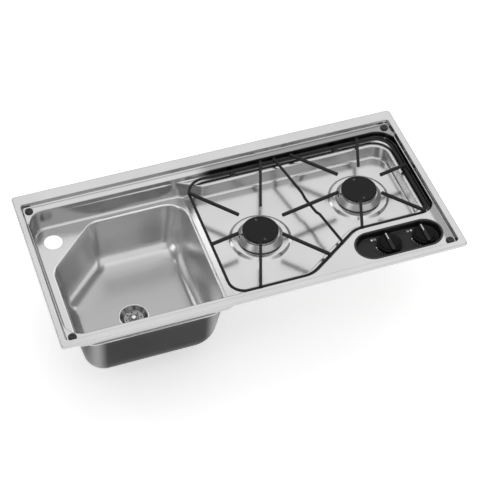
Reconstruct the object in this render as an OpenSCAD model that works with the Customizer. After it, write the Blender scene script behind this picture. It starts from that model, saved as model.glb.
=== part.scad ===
// Built-in kitchenette unit: one pressed steel worktop with a sink bowl and a two-burner gas hob.
// Plan sizes run from the left and front edges of the worktop, and depths run down from its top face.
// The origin is the middle of the outline, on the kitchen worktop that the rim rests on.

/* [Worktop] */
// Overall width, left to right
unit_w = 860; // [840:5:940]
// Overall depth, front to rear
unit_d = 425; // [415:1:450]
// Thickness of the steel sheet
sheet_t = 1; // [0.8:0.1:1.2]
// Height of the turned-down rim
rim_h = 7; // [6:0.5:10]
// Radius of the outer corners
corner_r = 7; // [5:1:12]
// Width of the flange on the left
flange_left = 13; // [11:0.5:16]
// Width of the flange on the right
flange_right = 14; // [11:0.5:16]
// Width of the flange at the front
flange_front = 13.5; // [11:0.5:16]
// Width of the flange at the rear
flange_rear = 27; // [20:1:32]
// Depth of the recess that a glass lid would lie in
recess_depth = 9.5; // [8:0.5:11]
// Radius of the recess corners
recess_r = 9; // [7:1:14]

/* [Dish] */
// Left edge of the dish
dish_left = 20; // [18:0.5:24]
// Front edge of the dish
dish_front = 30; // [28:0.5:32]
// Gap from the dish to the right edge of the worktop
dish_right = 18; // [17:0.5:22]
// Gap from the dish to the rear edge of the worktop
dish_rear = 47; // [44:1:52]
// Corner radius of the dish
dish_r = 40; // [36:1:46]
// Width of the raised land that carries the knobs, from the right edge
land_w = 201; // [199:1:206]
// Depth of that land, from the front edge
land_d = 117; // [115:1:120]
// Width of the slanting side of the land
land_slant = 126; // [120:1:132]
// Depth of the sink ledge below the worktop
sink_depth = 60; // [57:0.5:64]
// Place where the sink ledge steps up to the hob, as a share of the width
divider_share = 0.4256; // [0.422:0.0005:0.43]

/* [Tap hole] */
// Diameter of the tap hole
tap_hole_d = 39; // [28:0.5:42]
// Tap hole from the left edge
tap_x = 63; // [60:1:66]
// Tap hole from the rear edge
tap_rear = 97; // [92:1:100]

/* [Sink bowl] */
// Left edge of the bowl
bowl_left = 44; // [40:1:48]
// Gap from the bowl to the step
bowl_step_gap = 12; // [9:1:20]
// Front edge of the bowl
bowl_front = 36; // [35:0.5:42]
// Gap from the bowl to the rear edge of the worktop
bowl_rear = 68; // [64:1:76]
// Side of the corner cut off the bowl beside the tap
bowl_cut = 108; // [90:2:120]
// Depth of the bowl floor below the worktop
bowl_depth = 168; // [150:1:190]
// Radius between the bowl walls and the floor
bowl_fillet = 42; // [34:1:48]
// Width of the bowl flange welded under the ledge
bowl_flange_w = 4; // [3:0.5:5]

/* [Drain] */
// Place of the drain, as a share of the bowl's width
drain_x_share = 0.4613; // [0.44:0.001:0.5]
// Place of the drain, as a share of the bowl's depth from its front
drain_y_share = 0.4112; // [0.39:0.001:0.45]
// Diameter of the drain flange
drain_d = 66; // [60:1:72]
// Outer diameter of the waste tail
tail_d = 40; // [32:1:44]
// Length of the waste tail
tail_l = 38; // [34:1:60]

/* [Hob pan] */
// Depth of the ledge that carries the pan support
ledge_depth = 22; // [20:0.5:24]
// Depth of the hob pan floor
pan_depth = 52; // [50:0.5:54]
// Width of the ledge at the front and along the land
ledge_front = 18; // [16:0.5:20]
// Width of the ledge on the right
ledge_right = 26; // [24:0.5:28]
// Width of the ledge at the rear
ledge_rear = 29; // [27:0.5:31]
// How far before the step the pan walls begin to draw in
bend_before = 14; // [10:1:18]
// How far past the step they have drawn in fully
bend_past = 32; // [26:1:38]

/* [Burners] */
// Left burner from the left edge, as a share of the width
burner_left_x_share = 0.5535; // [0.548:0.0005:0.568]
// Left burner from the front edge, as a share of the depth
burner_left_y_share = 0.4565; // [0.44:0.0005:0.47]
// Right burner from the left edge, as a share of the width
burner_right_x_share = 0.832; // [0.826:0.0005:0.838]
// Right burner from the front edge, as a share of the depth
burner_right_y_share = 0.5624; // [0.548:0.0005:0.572]
// Radius of the raised seat pressed into the pan
seat_r = 64; // [58:0.5:68]
// Height of that seat
seat_h = 4; // [3:0.5:5]
// Outer radius of the flame spreader
spreader_r = 49; // [46:0.5:50]
// Radius of the burner cap
cap_r = 38.3; // [36:0.1:40]
// Thickness of the burner cap
cap_t = 4.4; // [3.6:0.1:5.2]
// Depth of the burner cap's top below the worktop
cap_depth = 24.6; // [23:0.2:26]
// Number of flame ports
port_count = 24; // [16:1:30]

/* [Pan support] */
// Diameter of the rods
rod_d = 6; // [5:0.5:7]
// Depth of the ring's centre line below the worktop
ring_depth = 15; // [14:0.5:16]
// How far the left side of the ring lies before the step
ring_step_gap = 3; // [-4:0.5:6]
// Gap from the dish to the ring's centre line at the front and along the land
ring_front_gap = 5.5; // [5.2:0.1:7]
// Gap from the dish to the ring's centre line on the right
ring_right_gap = 14; // [12:0.5:15]
// Gap from the dish to the ring's centre line at the rear
ring_rear_gap = 13; // [11:0.5:14]
// Radius of the circle that the finger tips stand on
finger_tip_r = 52.5; // [52.2:0.1:56]
// Gap from the ends of the front fingers to the dish
finger_gap = 1.4; // [1.3:0.1:2]

/* [Knobs] */
// Right knob from the right edge
knob_right_gap = 68; // [66:1:70]
// Spacing of the two knobs
knob_pitch = 79; // [76:1:84]
// Gap from the flange at the front to the control panel
panel_front_gap = 13.1; // [12.6:0.1:14]
// Gap from the control panel to the edge of the land
panel_land_gap = 14; // [13.5:0.1:15]
// Reach of the control panel past the left knob
panel_past = 76.5; // [74:0.5:80]
// Depth of the control panel floor below the worktop
panel_depth = 21.5; // [20:0.5:23]
// Gap from a knob's skirt to the edge of the control panel
knob_gap = 12.2; // [11.7:0.1:14]
// Number of notches in the skirt
notch_count = 28; // [20:1:36]
// Travel of a knob when it is pressed in
knob_travel = 3; // [2:0.1:3.2]

/* [Gas fittings] */
// Radius of the spindles
spindle_r = 4; // [3:0.1:4.5]
// Radius of the inlet pipe
inlet_r = 4; // [3:0.1:5]
// Radius of the feed pipes
feed_r = 3; // [2:0.1:3.5]
// Radius of the gas rail
rail_r = 7; // [6:0.1:7.5]

/* [Hidden] */

$fn = 48;
// Overrun of every cut past the face that it leaves
over = 2;
// Thickness of the slices that the bowl is drawn from
thin = 0.1;
// Straight pieces in each rounded corner of a pressed outline
corner_steps = 7;
// Clearance between a piece that turns or slides and its bore
run_gap = 0.05;
// Clearance between pieces that are only assembled
fit_gap = 0.2;

// Places worked out from the edges
divider_x = unit_w * divider_share;
bend_start = divider_x - bend_before;
bend_end = divider_x + bend_past;
bowl_right = divider_x - bowl_step_gap;
ring_left = divider_x - ring_step_gap;
burner_left_x = unit_w * burner_left_x_share;
burner_left_y = unit_d * burner_left_y_share;
burner_right_x = unit_w * burner_right_x_share;
burner_right_y = unit_d * burner_right_y_share;
panel_r = (land_d - panel_land_gap - flange_front - panel_front_gap) / 2;
knob_r = panel_r - knob_gap;
knob_y = flange_front + panel_front_gap + panel_r;
knob_right_x = unit_w - knob_right_gap;
knob_left_x = knob_right_x - knob_pitch;
burner_pos = [[burner_left_x, burner_left_y], [burner_right_x, burner_right_y]];
knob_pos = [[knob_left_x, knob_y], [knob_right_x, knob_y]];
tap_y = unit_d - tap_rear;
dish_back = unit_d - dish_rear;
dish_side = unit_w - dish_right;
land_x = unit_w - land_w;

// Outlines run anticlockwise from the front left corner
outline = [[0, 0], [unit_w, 0], [unit_w, unit_d], [0, unit_d]];
outline_r = [corner_r, corner_r, corner_r, corner_r];
recess = inset_edges(outline, [flange_front, flange_right, flange_rear, flange_left]);
recess_rs = [recess_r, recess_r, recess_r, recess_r];
// Corner radii of the dish as shares of the largest, from the front left corner
dish_r_shares = [0.95, 1.5, 1.1, 0.85, 1.12, 1];
dish = [[dish_left, dish_front], [land_x - land_slant, dish_front], [land_x, land_d],
    [dish_side, land_d], [dish_side, dish_back], [dish_left, dish_back]];
dish_rs = dish_r * dish_r_shares;
pan = inset_edges(dish, [ledge_front, ledge_front, ledge_front, ledge_right, ledge_rear, 0]);
// The deep walls follow the dish round the sink and draw in round the hob pan
deep = [dish[0], [bend_start, dish_front], [bend_end, pan[0].y], pan[1], pan[2], pan[3], pan[4],
    [bend_end, pan[4].y], [bend_start, dish_back], dish[5]];
deep_r_shares = [0.95, 1, 1, 1.1, 1.5, 0.5, 0.9, 1, 1, 1];
deep_rs = dish_r * deep_r_shares;
sink_area = [[0, 0], [divider_x, 0], [divider_x, unit_d], [0, unit_d]];
bowl_back = unit_d - bowl_rear;
drain_x = mix(bowl_left, bowl_right, drain_x_share);
drain_y = mix(bowl_front, bowl_back, drain_y_share);
bowl = [[bowl_left, bowl_front], [bowl_right, bowl_front], [bowl_right, bowl_back],
    [bowl_left + bowl_cut, bowl_back], [bowl_left, bowl_back - bowl_cut]];
bowl_r_shares = [0.9, 1.05, 1.15, 0.9, 0.9];
bowl_rs = bowl_fillet * bowl_r_shares;
// How far the floor lies inside the front, right, rear, cut and left edges, as shares of the fillet
bowl_run_shares = [0.45, 1.25, 1.7, 1.35, 0.95];
bowl_floor_r_share = 0.6;
// Part of that run that the walls take before the fillet begins
wall_run_share = 0.3;
fillet_steps = 6;
ring = inset_edges(dish, [ring_front_gap, ring_front_gap, ring_front_gap, ring_right_gap,
    ring_rear_gap, ring_left - dish_left]);
ring_r_shares = [0.85, 1.5, 1.12, 0.65, 1.1, 1.05];
ring_rs = dish_r * ring_r_shares;

// Rubber bumpers
bumper_r = 8.8;
bumper_h = 4.5;
bumper_top_r = 6.6;
bumper_dimple_r = 3;
bumper_stem_r = 3;
bumper_barb_r = 4.2;
bumper_side = 28.5;
bumper_front = 27;
bumper_rear = 43;
bumper_pos = [[bumper_side, bumper_front], [unit_w - bumper_side, bumper_front],
    [unit_w - bumper_side, unit_d - bumper_rear], [bumper_side, unit_d - bumper_rear]];

// Rim seal
seal_gap = 0.5;
seal_w = 8;

// Drain
drain_hole_r = 29;
drain_lip = 1.4;
drain_bowl_depth = 9;
drain_throat_r = 22;
drain_wall = 1.2;
strainer_t = 1.5;
strainer_hole_r = 3.4;
strainer_holes = 8;
strainer_ring_share = 0.66;
strainer_boss_r = 7;
strainer_boss_h = 3;
drain_screw_r = 3;
drain_head_r = 5;
drain_head_h = 2;
gasket_t = 2;
waste_wall = 3;
waste_flange_t = 4;
waste_cup_h = 22;
waste_hub_r = 6;
waste_rib = 3;

// Burners
cup_flange_r = 34;
cup_flange_t = 3;
cup_r = 25;
cup_bottom = 78;
cup_wall = 5;
neck_r = 20;
neck_wall = 3;
neck_depth = 62;
pan_hole_r = 26;
seat_depth = pan_depth - seat_h;
gasket_w = 4;
gasket_h = 1.5;
skirt_depth = seat_depth - gasket_h;
skirt_edge = 3;
shoulder_drop = 4.4;
shoulder_r = 40;
skirt_bevel = 1;
crown_r = 36.5;
crown_wall = 5;
port_w = 1.8;
port_h = 3.2;
cap_chamfer = 1;
cap_lip_t = 2.5;
cap_lip_h = 3;
cap_dot_r = 1.5;
cap_dot_place_share = 0.74;
cap_dot_deep = 0.4;
cap_dot_angle = 90;
jet_r = 5;
jet_hole_r = 0.8;
jet_depth = 72;
jet_bottom = 86;
jet_nut_r = 7;
screw_ring_r = 30;
screw_r = 1.6;
screw_head_r = 3;
screw_head_h = 1.8;
probe_ring_r = 41.2;
probe_angle = 173;
probe_r = 1.7;
probe_collar_r = 3;
probe_top = 35;
probe_collar_top = 42;
probe_hole_r = 4.5;
probe_bottom = 62;
probe_nut_r = 5;
probe_nut_h = 4;

// Pan support
rod_r = rod_d / 2;
finger_depth = ring_depth - rod_d;
finger_past = ring_front_gap - finger_gap;
foot_w = 8;
foot_l = 11;
// Feet along the ring, as shares of its width
foot_rear_shares = [0.235, 0.743];
foot_front_share = 0.12;
foot_land_share = 0.81;
// Ends of the brace, as shares of the way between the ends of two fingers, at the rear and the front
brace_end_shares = [0.449, 0.41];
// Half of the stretch of the brace that dips under the long finger, and the slope at each end
brace_low = 22;
brace_ramp = 14;
brace_swell = 0.1;

// Control panel
panel_lip = 2.4;
panel_lip_h = 0.8;
panel_wall_run = 6;
panel_wall = 1.5;
panel_left_x = knob_left_x - panel_past + panel_r;
panel_hole_r = panel_r - panel_lip;
spindle_hole_gap = 1.5;
spindle_hole_r = spindle_r + spindle_hole_gap;

// Knobs
knob_lift = 3.4;
skirt_h = 4;
knob_step = 3.5;
knob_body_r = knob_r - knob_step;
knob_body_h = 6.2;
grip_end_gap = 1;
grip_l = 2 * (knob_r - grip_end_gap);
grip_w = 9;
grip_depth = 9;
knob_hub_r = 7;
knob_wall = 7;
knob_hollow_r = knob_r - knob_wall;
notch_r = 1.5;
flat_share = 0.55;
pointer_w = 1.8;
pointer_t = 0.6;
pointer_start = 6;
pointer_end_gap = 2;
pointer_l = grip_l / 2 - pointer_start - pointer_end_gap;

// Gas taps
tap_r = 12;
tap_top = 27;
tap_bottom = 60;
collar_depth = 31;
collar_r = 15;
plunger_top = 42;
plunger_r = 2.6;
plunger_head_r = 4.8;
plunger_head_h = 1.6;
plunger_bottom = 55;
chamber_r = 5.5;
chamber_bottom = 52;
spring_r = 3.9;
spring_wire = 0.45;
spring_turns = 5;
spring_sides = 6;
spring_segments = 14;
magnet_r = 7;
magnet_depth = 52;
magnet_l = 20;
rail_gap = 4;
rail_y = knob_y + tap_r + rail_r + rail_gap;
rail_depth = 37;
rail_past = 26;
rail_wall = 1;
port_r = 5;
boss_wall = 1.5;
boss_h = 3.5;
collar_t = 3.5;
bracket_w = 34;
bracket_t = 1.5;
bracket_reach = 10;
bracket_tab = 12;
stud_r = 2;
stud_l = 7;
nut_r = 4;
nut_h = 3;
rail_end = knob_right_x + rail_past;
rail_start = knob_left_x - rail_past;

// Pipes and rods: each straight piece laps into its bends, which are a hair fatter
pipe_bend = 12;
feed_bend = 6;
bend_lap = 0.3;
bend_swell = 0.05;
lead_r = 1.2;
lead_bend = 6;
feed_low = 72;
feed_deep = 94;
feed_turn_past = 11;
feed_turn_y = land_d + feed_turn_past;
feed_mid_share = 0.685;
feed_mid_past = 53;
feed_mid = [mix(burner_left_x, burner_right_x, feed_mid_share), land_d + feed_mid_past];
lead_turn = 14;
lead_low = 66;
lead_drop = 14;
lead_mid_left = 31;
lead_mid_front = 54;
lead_mid = [for (p = burner_pos) p - [lead_mid_left, lead_mid_front]];
inlet_rear = 44;
inlet_x_past = 6;
inlet_depth = 80;

// Clamps
clamp_w = 16;
clamp_t = 1.5;
clamp_drop = 50;
clamp_end_gap = 0.5;
clamp_left_gap = 5.5;
clamp_screw_inset = 3;
clamp_screw_r = 1.7;
clamp_screw_l = 20;
clamp_side_shares = [0.32, 0.74];
clamp_rear_shares = [0.22, 0.72];

// Height of a depth below the worktop's top face
function z(depth) = rim_h - depth;
function unit(v) = v / norm(v);
function at_end(P, i) = P[(i + len(P)) % len(P)];
function cross2(u, v) = u.x * v.y - u.y * v.x;
function turn(u, v) = atan2(cross2(u, v), u * v);
function left_of(u) = [-u.y, u.x];
function mix(a, b, t) = a + (b - a) * t;

// Outline whose edges are moved inwards, each by its own distance
function inset_edges(P, S) = [for (i = [0:len(P) - 1])
    let(
        n1 = left_of(unit(P[i] - at_end(P, i - 1))),
        n2 = left_of(unit(at_end(P, i + 1) - P[i])),
        s1 = at_end(S, i - 1),
        s2 = S[i],
        det = cross2(n1, n2)
    )
    P[i] + [s1 * n2.y - s2 * n1.y, s2 * n1.x - s1 * n2.x] / det];
function inset(P, s) = inset_edges(P, [for (p = P) s]);
// Corner radii after an even inset: round corners tighten and hollow corners open
function inset_r(P, R, s) = [for (i = [0:len(P) - 1])
    R[i] - s * sign(turn(P[i] - at_end(P, i - 1), at_end(P, i + 1) - P[i]))];

// Start, end, centre, first angle and turn of a rounded corner
function corner(P, R, i) =
    let(
        u = unit(P[i] - at_end(P, i - 1)),
        v = unit(at_end(P, i + 1) - P[i]),
        w = turn(u, v),
        t = R[i] * tan(abs(w) / 2),
        n = left_of(u) * sign(w)
    )
    [P[i] - u * t, P[i] + v * t, P[i] - u * t + n * R[i], atan2(-n.y, -n.x), w];
function rounded(P, R) = [for (i = [0:len(P) - 1])
    let(c = corner(P, R, i))
    for (j = [0:corner_steps])
        let(a = c[3] + c[4] * j / corner_steps)
        c[2] + R[i] * [cos(a), sin(a)]];

// Distance from a point, along an angle, to the far side of a closed outline
function ray_hit(p, angle, P) =
    let(d = [cos(angle), sin(angle)])
    max([for (i = [0:len(P) - 1])
        let(
            a = P[i],
            e = at_end(P, i + 1) - a,
            det = cross2(d, e),
            s = det == 0 ? -1 : cross2(a - p, e) / det,
            k = det == 0 ? -1 : cross2(a - p, d) / det
        )
        k >= 0 && k <= 1 ? s : 0]);

module plan() translate([-unit_w / 2, -unit_d / 2, 0]) children();
module at(p, depth) translate([p.x - unit_w / 2, p.y - unit_d / 2, z(depth)]) children();

// Upright prism on an outline, from one depth down to another
module slab(P, R, top, bottom)
    plan() translate([0, 0, z(bottom)]) linear_extrude(bottom - top) polygon(rounded(P, R));

// Round bar standing between two depths
module post(p, r, top, bottom, r_top = undef)
    at(p, bottom) cylinder(h = bottom - top, r1 = r, r2 = is_undef(r_top) ? r : r_top);

// Turned piece, drawn as radius and depth
module turned(p, profile)
    at(p, 0) rotate_extrude($fn = 72) polygon([for (q = profile) [q.x, -q.y]]);

// Round tube that runs through points and turns with one bend radius
module tube_path(pts, r, bend) {
    last = len(pts) - 1;
    cuts = [for (i = [0:last])
        i == 0 || i == last ? 0 : bend * tan(bend_turn(pts, i) / 2)];
    for (i = [0:last - 1]) {
        u = unit(pts[i + 1] - pts[i]);
        start = cuts[i] - (cuts[i] > 0 ? bend_lap : 0);
        end = norm(pts[i + 1] - pts[i]) - cuts[i + 1] + (cuts[i + 1] > 0 ? bend_lap : 0);
        translate(pts[i] + u * start) multmatrix(frame_along(u, any_side(u)))
            cylinder(h = end - start, r = r, $fn = 48);
    }
    for (i = [1:last - 1])
        if (bend_turn(pts, i) > 0) {
            u = unit(pts[i] - pts[i - 1]);
            v = unit(pts[i + 1] - pts[i]);
            side = unit(v - u * (u * v));
            translate(pts[i] - u * cuts[i] + side * bend)
                multmatrix(frame_turn(-side, u))
                rotate_extrude(angle = bend_turn(pts, i)) translate([bend, 0])
                circle(r + bend_swell, $fn = 48);
        }
}
function bend_turn(pts, i) =
    let(u = unit(pts[i] - pts[i - 1]), v = unit(pts[i + 1] - pts[i]))
    acos(min(1, max(-1, u * v)));
function any_side(u) = abs(u.z) > 0.9 ? unit(cross([1, 0, 0], u)) : unit(cross([0, 0, 1], u));
// Frame with its third axis along u
function frame_along(u, s) = let(t = cross(u, s))
    [[s.x, t.x, u.x, 0], [s.y, t.y, u.y, 0], [s.z, t.z, u.z, 0], [0, 0, 0, 1]];
// Frame with its first axis along a and its second along b
function frame_turn(a, b) = let(c = cross(a, b))
    [[a.x, b.x, c.x, 0], [a.y, b.y, c.y, 0], [a.z, b.z, c.z, 0], [0, 0, 0, 1]];
// Point of a route, from a plan place and a depth
function way(p, depth) = [p.x - unit_w / 2, p.y - unit_d / 2, z(depth)];

// Long slot shape of the control panel, narrowing evenly from one depth to another
module panel_plug(r_top, r_bottom, top, bottom) {
    for (x = [panel_left_x, knob_right_x]) post([x, knob_y], r_bottom, top, bottom, r_top);
    at([panel_left_x, knob_y], 0) rotate([90, 0, 90]) linear_extrude(knob_right_x - panel_left_x)
        polygon([[-r_bottom, -bottom], [r_bottom, -bottom], [r_top, -top], [-r_top, -top]]);
}

module worktop() color("silver") difference() {
    union() {
        slab(outline, outline_r, 0, sheet_t);
        difference() {
            slab(outline, outline_r, 0, rim_h);
            slab(inset(outline, sheet_t), inset_r(outline, outline_r, sheet_t), -over, rim_h + over);
        }
        slab(inset(recess, -sheet_t), inset_r(recess, recess_rs, -sheet_t), 0, recess_depth + sheet_t);
        slab(inset(dish, -sheet_t), inset_r(dish, dish_rs, -sheet_t), recess_depth,
            ledge_depth + sheet_t);
        slab(inset(deep, -sheet_t), inset_r(deep, deep_rs, -sheet_t), ledge_depth,
            pan_depth + sheet_t);
        intersection() {
            slab(inset(deep, -sheet_t), inset_r(deep, deep_rs, -sheet_t), pan_depth,
                sink_depth + sheet_t);
            slab(inset(sink_area, -sheet_t), outline_r, pan_depth - over, sink_depth + over);
        }
    }
    difference() {
        union() {
            slab(recess, recess_rs, -over, recess_depth);
            slab(dish, dish_rs, 0, ledge_depth);
            slab(deep, deep_rs, 0, pan_depth);
            intersection() {
                slab(deep, deep_rs, 0, sink_depth);
                slab(sink_area, outline_r, -over, sink_depth + over);
            }
        }
        for (p = burner_pos) post(p, seat_r, seat_depth, pan_depth + over);
    }
    for (p = burner_pos) {
        post(p, seat_r - sheet_t, seat_depth + sheet_t, pan_depth + over);
        post(p, pan_hole_r, 0, pan_depth + over);
        for (k = [0:2]) post(around(p, screw_ring_r, 120 * k), screw_r + fit_gap, 0, pan_depth + over);
        post(around(p, probe_ring_r, probe_angle), probe_r + fit_gap, 0, pan_depth + over);
    }
    slab(bowl, bowl_rs, 0, sink_depth + over);
    post([tap_x, tap_y], tap_hole_d / 2, 0, sink_depth + over);
    panel_plug(panel_hole_r, panel_hole_r, 0, recess_depth + over);
    for (p = bumper_pos) post(p, bumper_stem_r + fit_gap, 0, recess_depth + over);
}

function around(p, r, angle) = p + r * [cos(angle), sin(angle)];

// One rounded outline of the bowl: 0 is its edge, 1 is its floor
module bowl_slice(w, depth, grow) {
    runs = [for (s = bowl_run_shares) s * bowl_fillet * w - grow];
    radii = [for (r = bowl_rs) mix(r, r * bowl_floor_r_share, w) + grow];
    slab(inset_edges(bowl, runs), radii, depth - thin * w, depth + thin * (1 - w));
}
module bowl_mass(top, bottom, grow) hull() {
    bowl_slice(0, top, grow);
    for (i = [0:fillet_steps]) {
        a = 90 * i / fillet_steps;
        bowl_slice(mix(wall_run_share, 1, 1 - cos(a)), bottom - bowl_fillet * (1 - sin(a)), grow);
    }
}
module sink_bowl() color("gainsboro") difference() {
    union() {
        slab(inset(bowl, -bowl_flange_w), inset_r(bowl, bowl_rs, -bowl_flange_w),
            sink_depth + sheet_t, sink_depth + 2 * sheet_t);
        bowl_mass(sink_depth + sheet_t, bowl_depth + sheet_t, sheet_t);
    }
    bowl_mass(sink_depth, bowl_depth, 0);
    post([drain_x, drain_y], drain_hole_r, bowl_depth - over, bowl_depth + sheet_t + over);
}

module rim_seal() color("dimgray") difference() {
    slab(inset(outline, sheet_t + seal_gap), inset_r(outline, outline_r, sheet_t + seal_gap),
        sheet_t, rim_h);
    slab(inset(outline, seal_gap + seal_w), outline_r, 0, rim_h + over);
}

module corner_bumpers() color([0.1, 0.1, 0.1]) for (p = bumper_pos) {
    turned(p, [[0, recess_depth], [bumper_r, recess_depth],
        [bumper_r, recess_depth - bumper_h / 2], [bumper_top_r, recess_depth - bumper_h],
        [bumper_dimple_r, recess_depth - bumper_h], [0, recess_depth - bumper_h / 2]]);
    post(p, bumper_stem_r, recess_depth, recess_depth + sheet_t);
    post(p, bumper_stem_r, recess_depth + sheet_t, recess_depth + sheet_t + bumper_h,
        bumper_barb_r);
}

drain_pos = [drain_x, drain_y];
throat_depth = bowl_depth + drain_bowl_depth;
module drain_flange() color("lightgray") turned(drain_pos, [
    [drain_d / 2, bowl_depth],
    [drain_d / 2 - drain_lip, bowl_depth - drain_lip],
    [drain_hole_r - drain_wall - fit_gap, bowl_depth - drain_lip],
    [drain_throat_r, throat_depth - drain_wall],
    [drain_throat_r - drain_lip, throat_depth - drain_wall],
    [drain_throat_r - drain_lip, throat_depth],
    [drain_throat_r + drain_wall, throat_depth],
    [drain_hole_r - fit_gap, bowl_depth + drain_wall],
    [drain_hole_r - fit_gap, bowl_depth]]);

strainer_depth = throat_depth - drain_wall - strainer_t;
module drain_strainer() color("silver") difference() {
    union() {
        post(drain_pos, drain_throat_r - fit_gap, strainer_depth, strainer_depth + strainer_t);
        post(drain_pos, strainer_boss_r, strainer_depth - strainer_boss_h, strainer_depth + strainer_t,
            strainer_boss_r - strainer_boss_h / 2);
    }
    for (k = [0:strainer_holes - 1])
        post(around(drain_pos, drain_throat_r * strainer_ring_share, 360 * k / strainer_holes),
            strainer_hole_r, strainer_depth - over, strainer_depth + over + strainer_t);
    post(drain_pos, drain_screw_r + fit_gap, 0, throat_depth);
}
screw_seat = strainer_depth - strainer_boss_h;
waste_top = bowl_depth + sheet_t + gasket_t;
waste_bottom = waste_top + waste_cup_h;
module drain_screw() color("silver") difference() {
    union() {
        post(drain_pos, drain_head_r, screw_seat - drain_head_h, screw_seat);
        post(drain_pos, drain_screw_r, screw_seat, waste_bottom - waste_rib);
    }
    at(drain_pos, screw_seat - drain_head_h / 2)
        translate([-drain_head_r, -drain_screw_r / 4, 0])
        cube([2 * drain_head_r, drain_screw_r / 2, drain_head_h]);
}
module drain_gasket() color("dimgray") turned(drain_pos, [
    [drain_hole_r, bowl_depth + sheet_t], [drain_d / 2, bowl_depth + sheet_t],
    [drain_d / 2, waste_top], [drain_hole_r, waste_top]]);
module waste_body() color("white") difference() {
    union() {
        post(drain_pos, drain_d / 2 + waste_wall, waste_top, waste_top + waste_flange_t);
        post(drain_pos, drain_d / 2, waste_top, waste_bottom);
        post(drain_pos, tail_d / 2, waste_bottom, waste_bottom + tail_l);
    }
    difference() {
        post(drain_pos, drain_d / 2 - waste_wall, waste_top - over, waste_bottom - waste_wall);
        post(drain_pos, waste_hub_r, waste_bottom - waste_cup_h / 2, waste_bottom);
        at(drain_pos, waste_bottom) for (a = [0, 120, 240]) rotate(a)
            translate([0, -waste_rib / 2, 0]) cube([drain_d / 2, waste_rib, waste_cup_h / 2]);
    }
    difference() {
        post(drain_pos, tail_d / 2 - waste_wall, waste_bottom - waste_wall - over,
            waste_bottom + tail_l + over);
        post(drain_pos, waste_hub_r, waste_top, waste_bottom);
        at(drain_pos, waste_bottom) for (a = [0, 120, 240]) rotate(a)
            translate([0, -waste_rib / 2, 0]) cube([drain_d / 2, waste_rib, waste_cup_h / 2]);
    }
    post(drain_pos, drain_screw_r, waste_top - over, waste_bottom + over);
}

floor_bottom = panel_depth + panel_wall;
floor_r = panel_hole_r - fit_gap - panel_wall_run;
module control_panel() color([0.12, 0.12, 0.12]) difference() {
    union() {
        panel_plug(panel_r - panel_lip_h, panel_r, recess_depth - panel_lip_h, recess_depth);
        panel_plug(panel_hole_r - fit_gap, floor_r + panel_wall, recess_depth, floor_bottom);
    }
    panel_plug(panel_hole_r - fit_gap - panel_wall, floor_r, recess_depth - panel_lip_h - sheet_t,
        panel_depth);
    for (p = knob_pos) post(p, spindle_hole_r, panel_depth - over, floor_bottom + over);
}

bracket_left = panel_left_x - panel_r - bracket_reach;
bracket_right = min(knob_right_x + panel_r + bracket_reach, unit_w - flange_right - bracket_t);
bracket_depth = collar_depth - bracket_t;
tab_depth = recess_depth + sheet_t;
module tap_bracket() color("lightslategray") difference() {
    union() {
        bracket_box(bracket_left, bracket_right, bracket_depth, collar_depth);
        bracket_box(bracket_left, bracket_left + bracket_t, tab_depth, collar_depth);
        bracket_box(bracket_right - bracket_t, bracket_right, tab_depth, collar_depth);
        bracket_box(bracket_left - bracket_tab, bracket_left + bracket_t, tab_depth,
            tab_depth + bracket_t);
    }
    for (p = knob_pos) post(p, tap_r + fit_gap, bracket_depth - over, collar_depth + over);
    for (p = stud_pos) post(p, stud_r + fit_gap, tab_depth - over, tab_depth + over + bracket_t);
}
module bracket_box(x1, x2, top, bottom)
    at([x1, knob_y - bracket_w / 2], bottom) cube([x2 - x1, bracket_w, bottom - top]);
stud_pos = [for (s = [-1, 1]) [bracket_left - bracket_tab / 2, knob_y + s * bracket_w / 4]];
module bracket_nuts() color("gray") for (p = stud_pos) {
    post(p, stud_r, tab_depth, tab_depth + stud_l);
    at(p, tab_depth + bracket_t + nut_h) cylinder(h = nut_h, r = nut_r, $fn = 6);
}

module gas_tap(p) color("goldenrod") difference() {
    union() {
        post(p, tap_r, tap_top, tap_bottom);
        post(p, collar_r, collar_depth, collar_depth + collar_t);
        at(p, rail_depth) rotate([-90, 0, 0]) cylinder(h = rail_y - knob_y - rail_r / 2, r = port_r);
        at(p, magnet_depth) rotate([-90, 0, 0]) cylinder(h = tap_r + boss_wall, r = magnet_r + boss_wall);
        post(p, port_r, tap_bottom, tap_bottom + boss_h);
    }
    at([p.x - unit_w, rail_y], rail_depth) rotate([0, 90, 0]) cylinder(h = 2 * unit_w, r = rail_r);
    post(p, spindle_r + run_gap, tap_top - over, plunger_top);
    post(p, chamber_r, plunger_top - knob_travel - fit_gap, chamber_bottom);
    post(p, plunger_r + run_gap, plunger_top, plunger_bottom + knob_travel + fit_gap);
    at(p, magnet_depth) translate([0, tap_r - magnet_r / 2, 0]) rotate([-90, 0, 0])
        cylinder(h = tap_r, r = magnet_r);
    post(p, feed_r + fit_gap, tap_bottom, tap_bottom + boss_h + over);
}
module magnet_valve(p) color("silver")
    at(p, magnet_depth) translate([0, tap_r - magnet_r / 2, 0]) rotate([-90, 0, 0])
        cylinder(h = magnet_l, r = magnet_r);

// The plunger carries the spindle and is pressed down with it
module tap_plunger(p) color("silver") {
    post(p, plunger_r, plunger_top + plunger_head_h, plunger_bottom);
    post(p, plunger_head_r, plunger_top, plunger_top + plunger_head_h);
}
spring_top = plunger_top + plunger_head_h;
module tap_spring(p) color("silver") at(p, spring_top + spring_wire)
    helix(spring_r, spring_wire, spring_top + spring_wire - (chamber_bottom - spring_wire),
        spring_turns);

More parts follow.
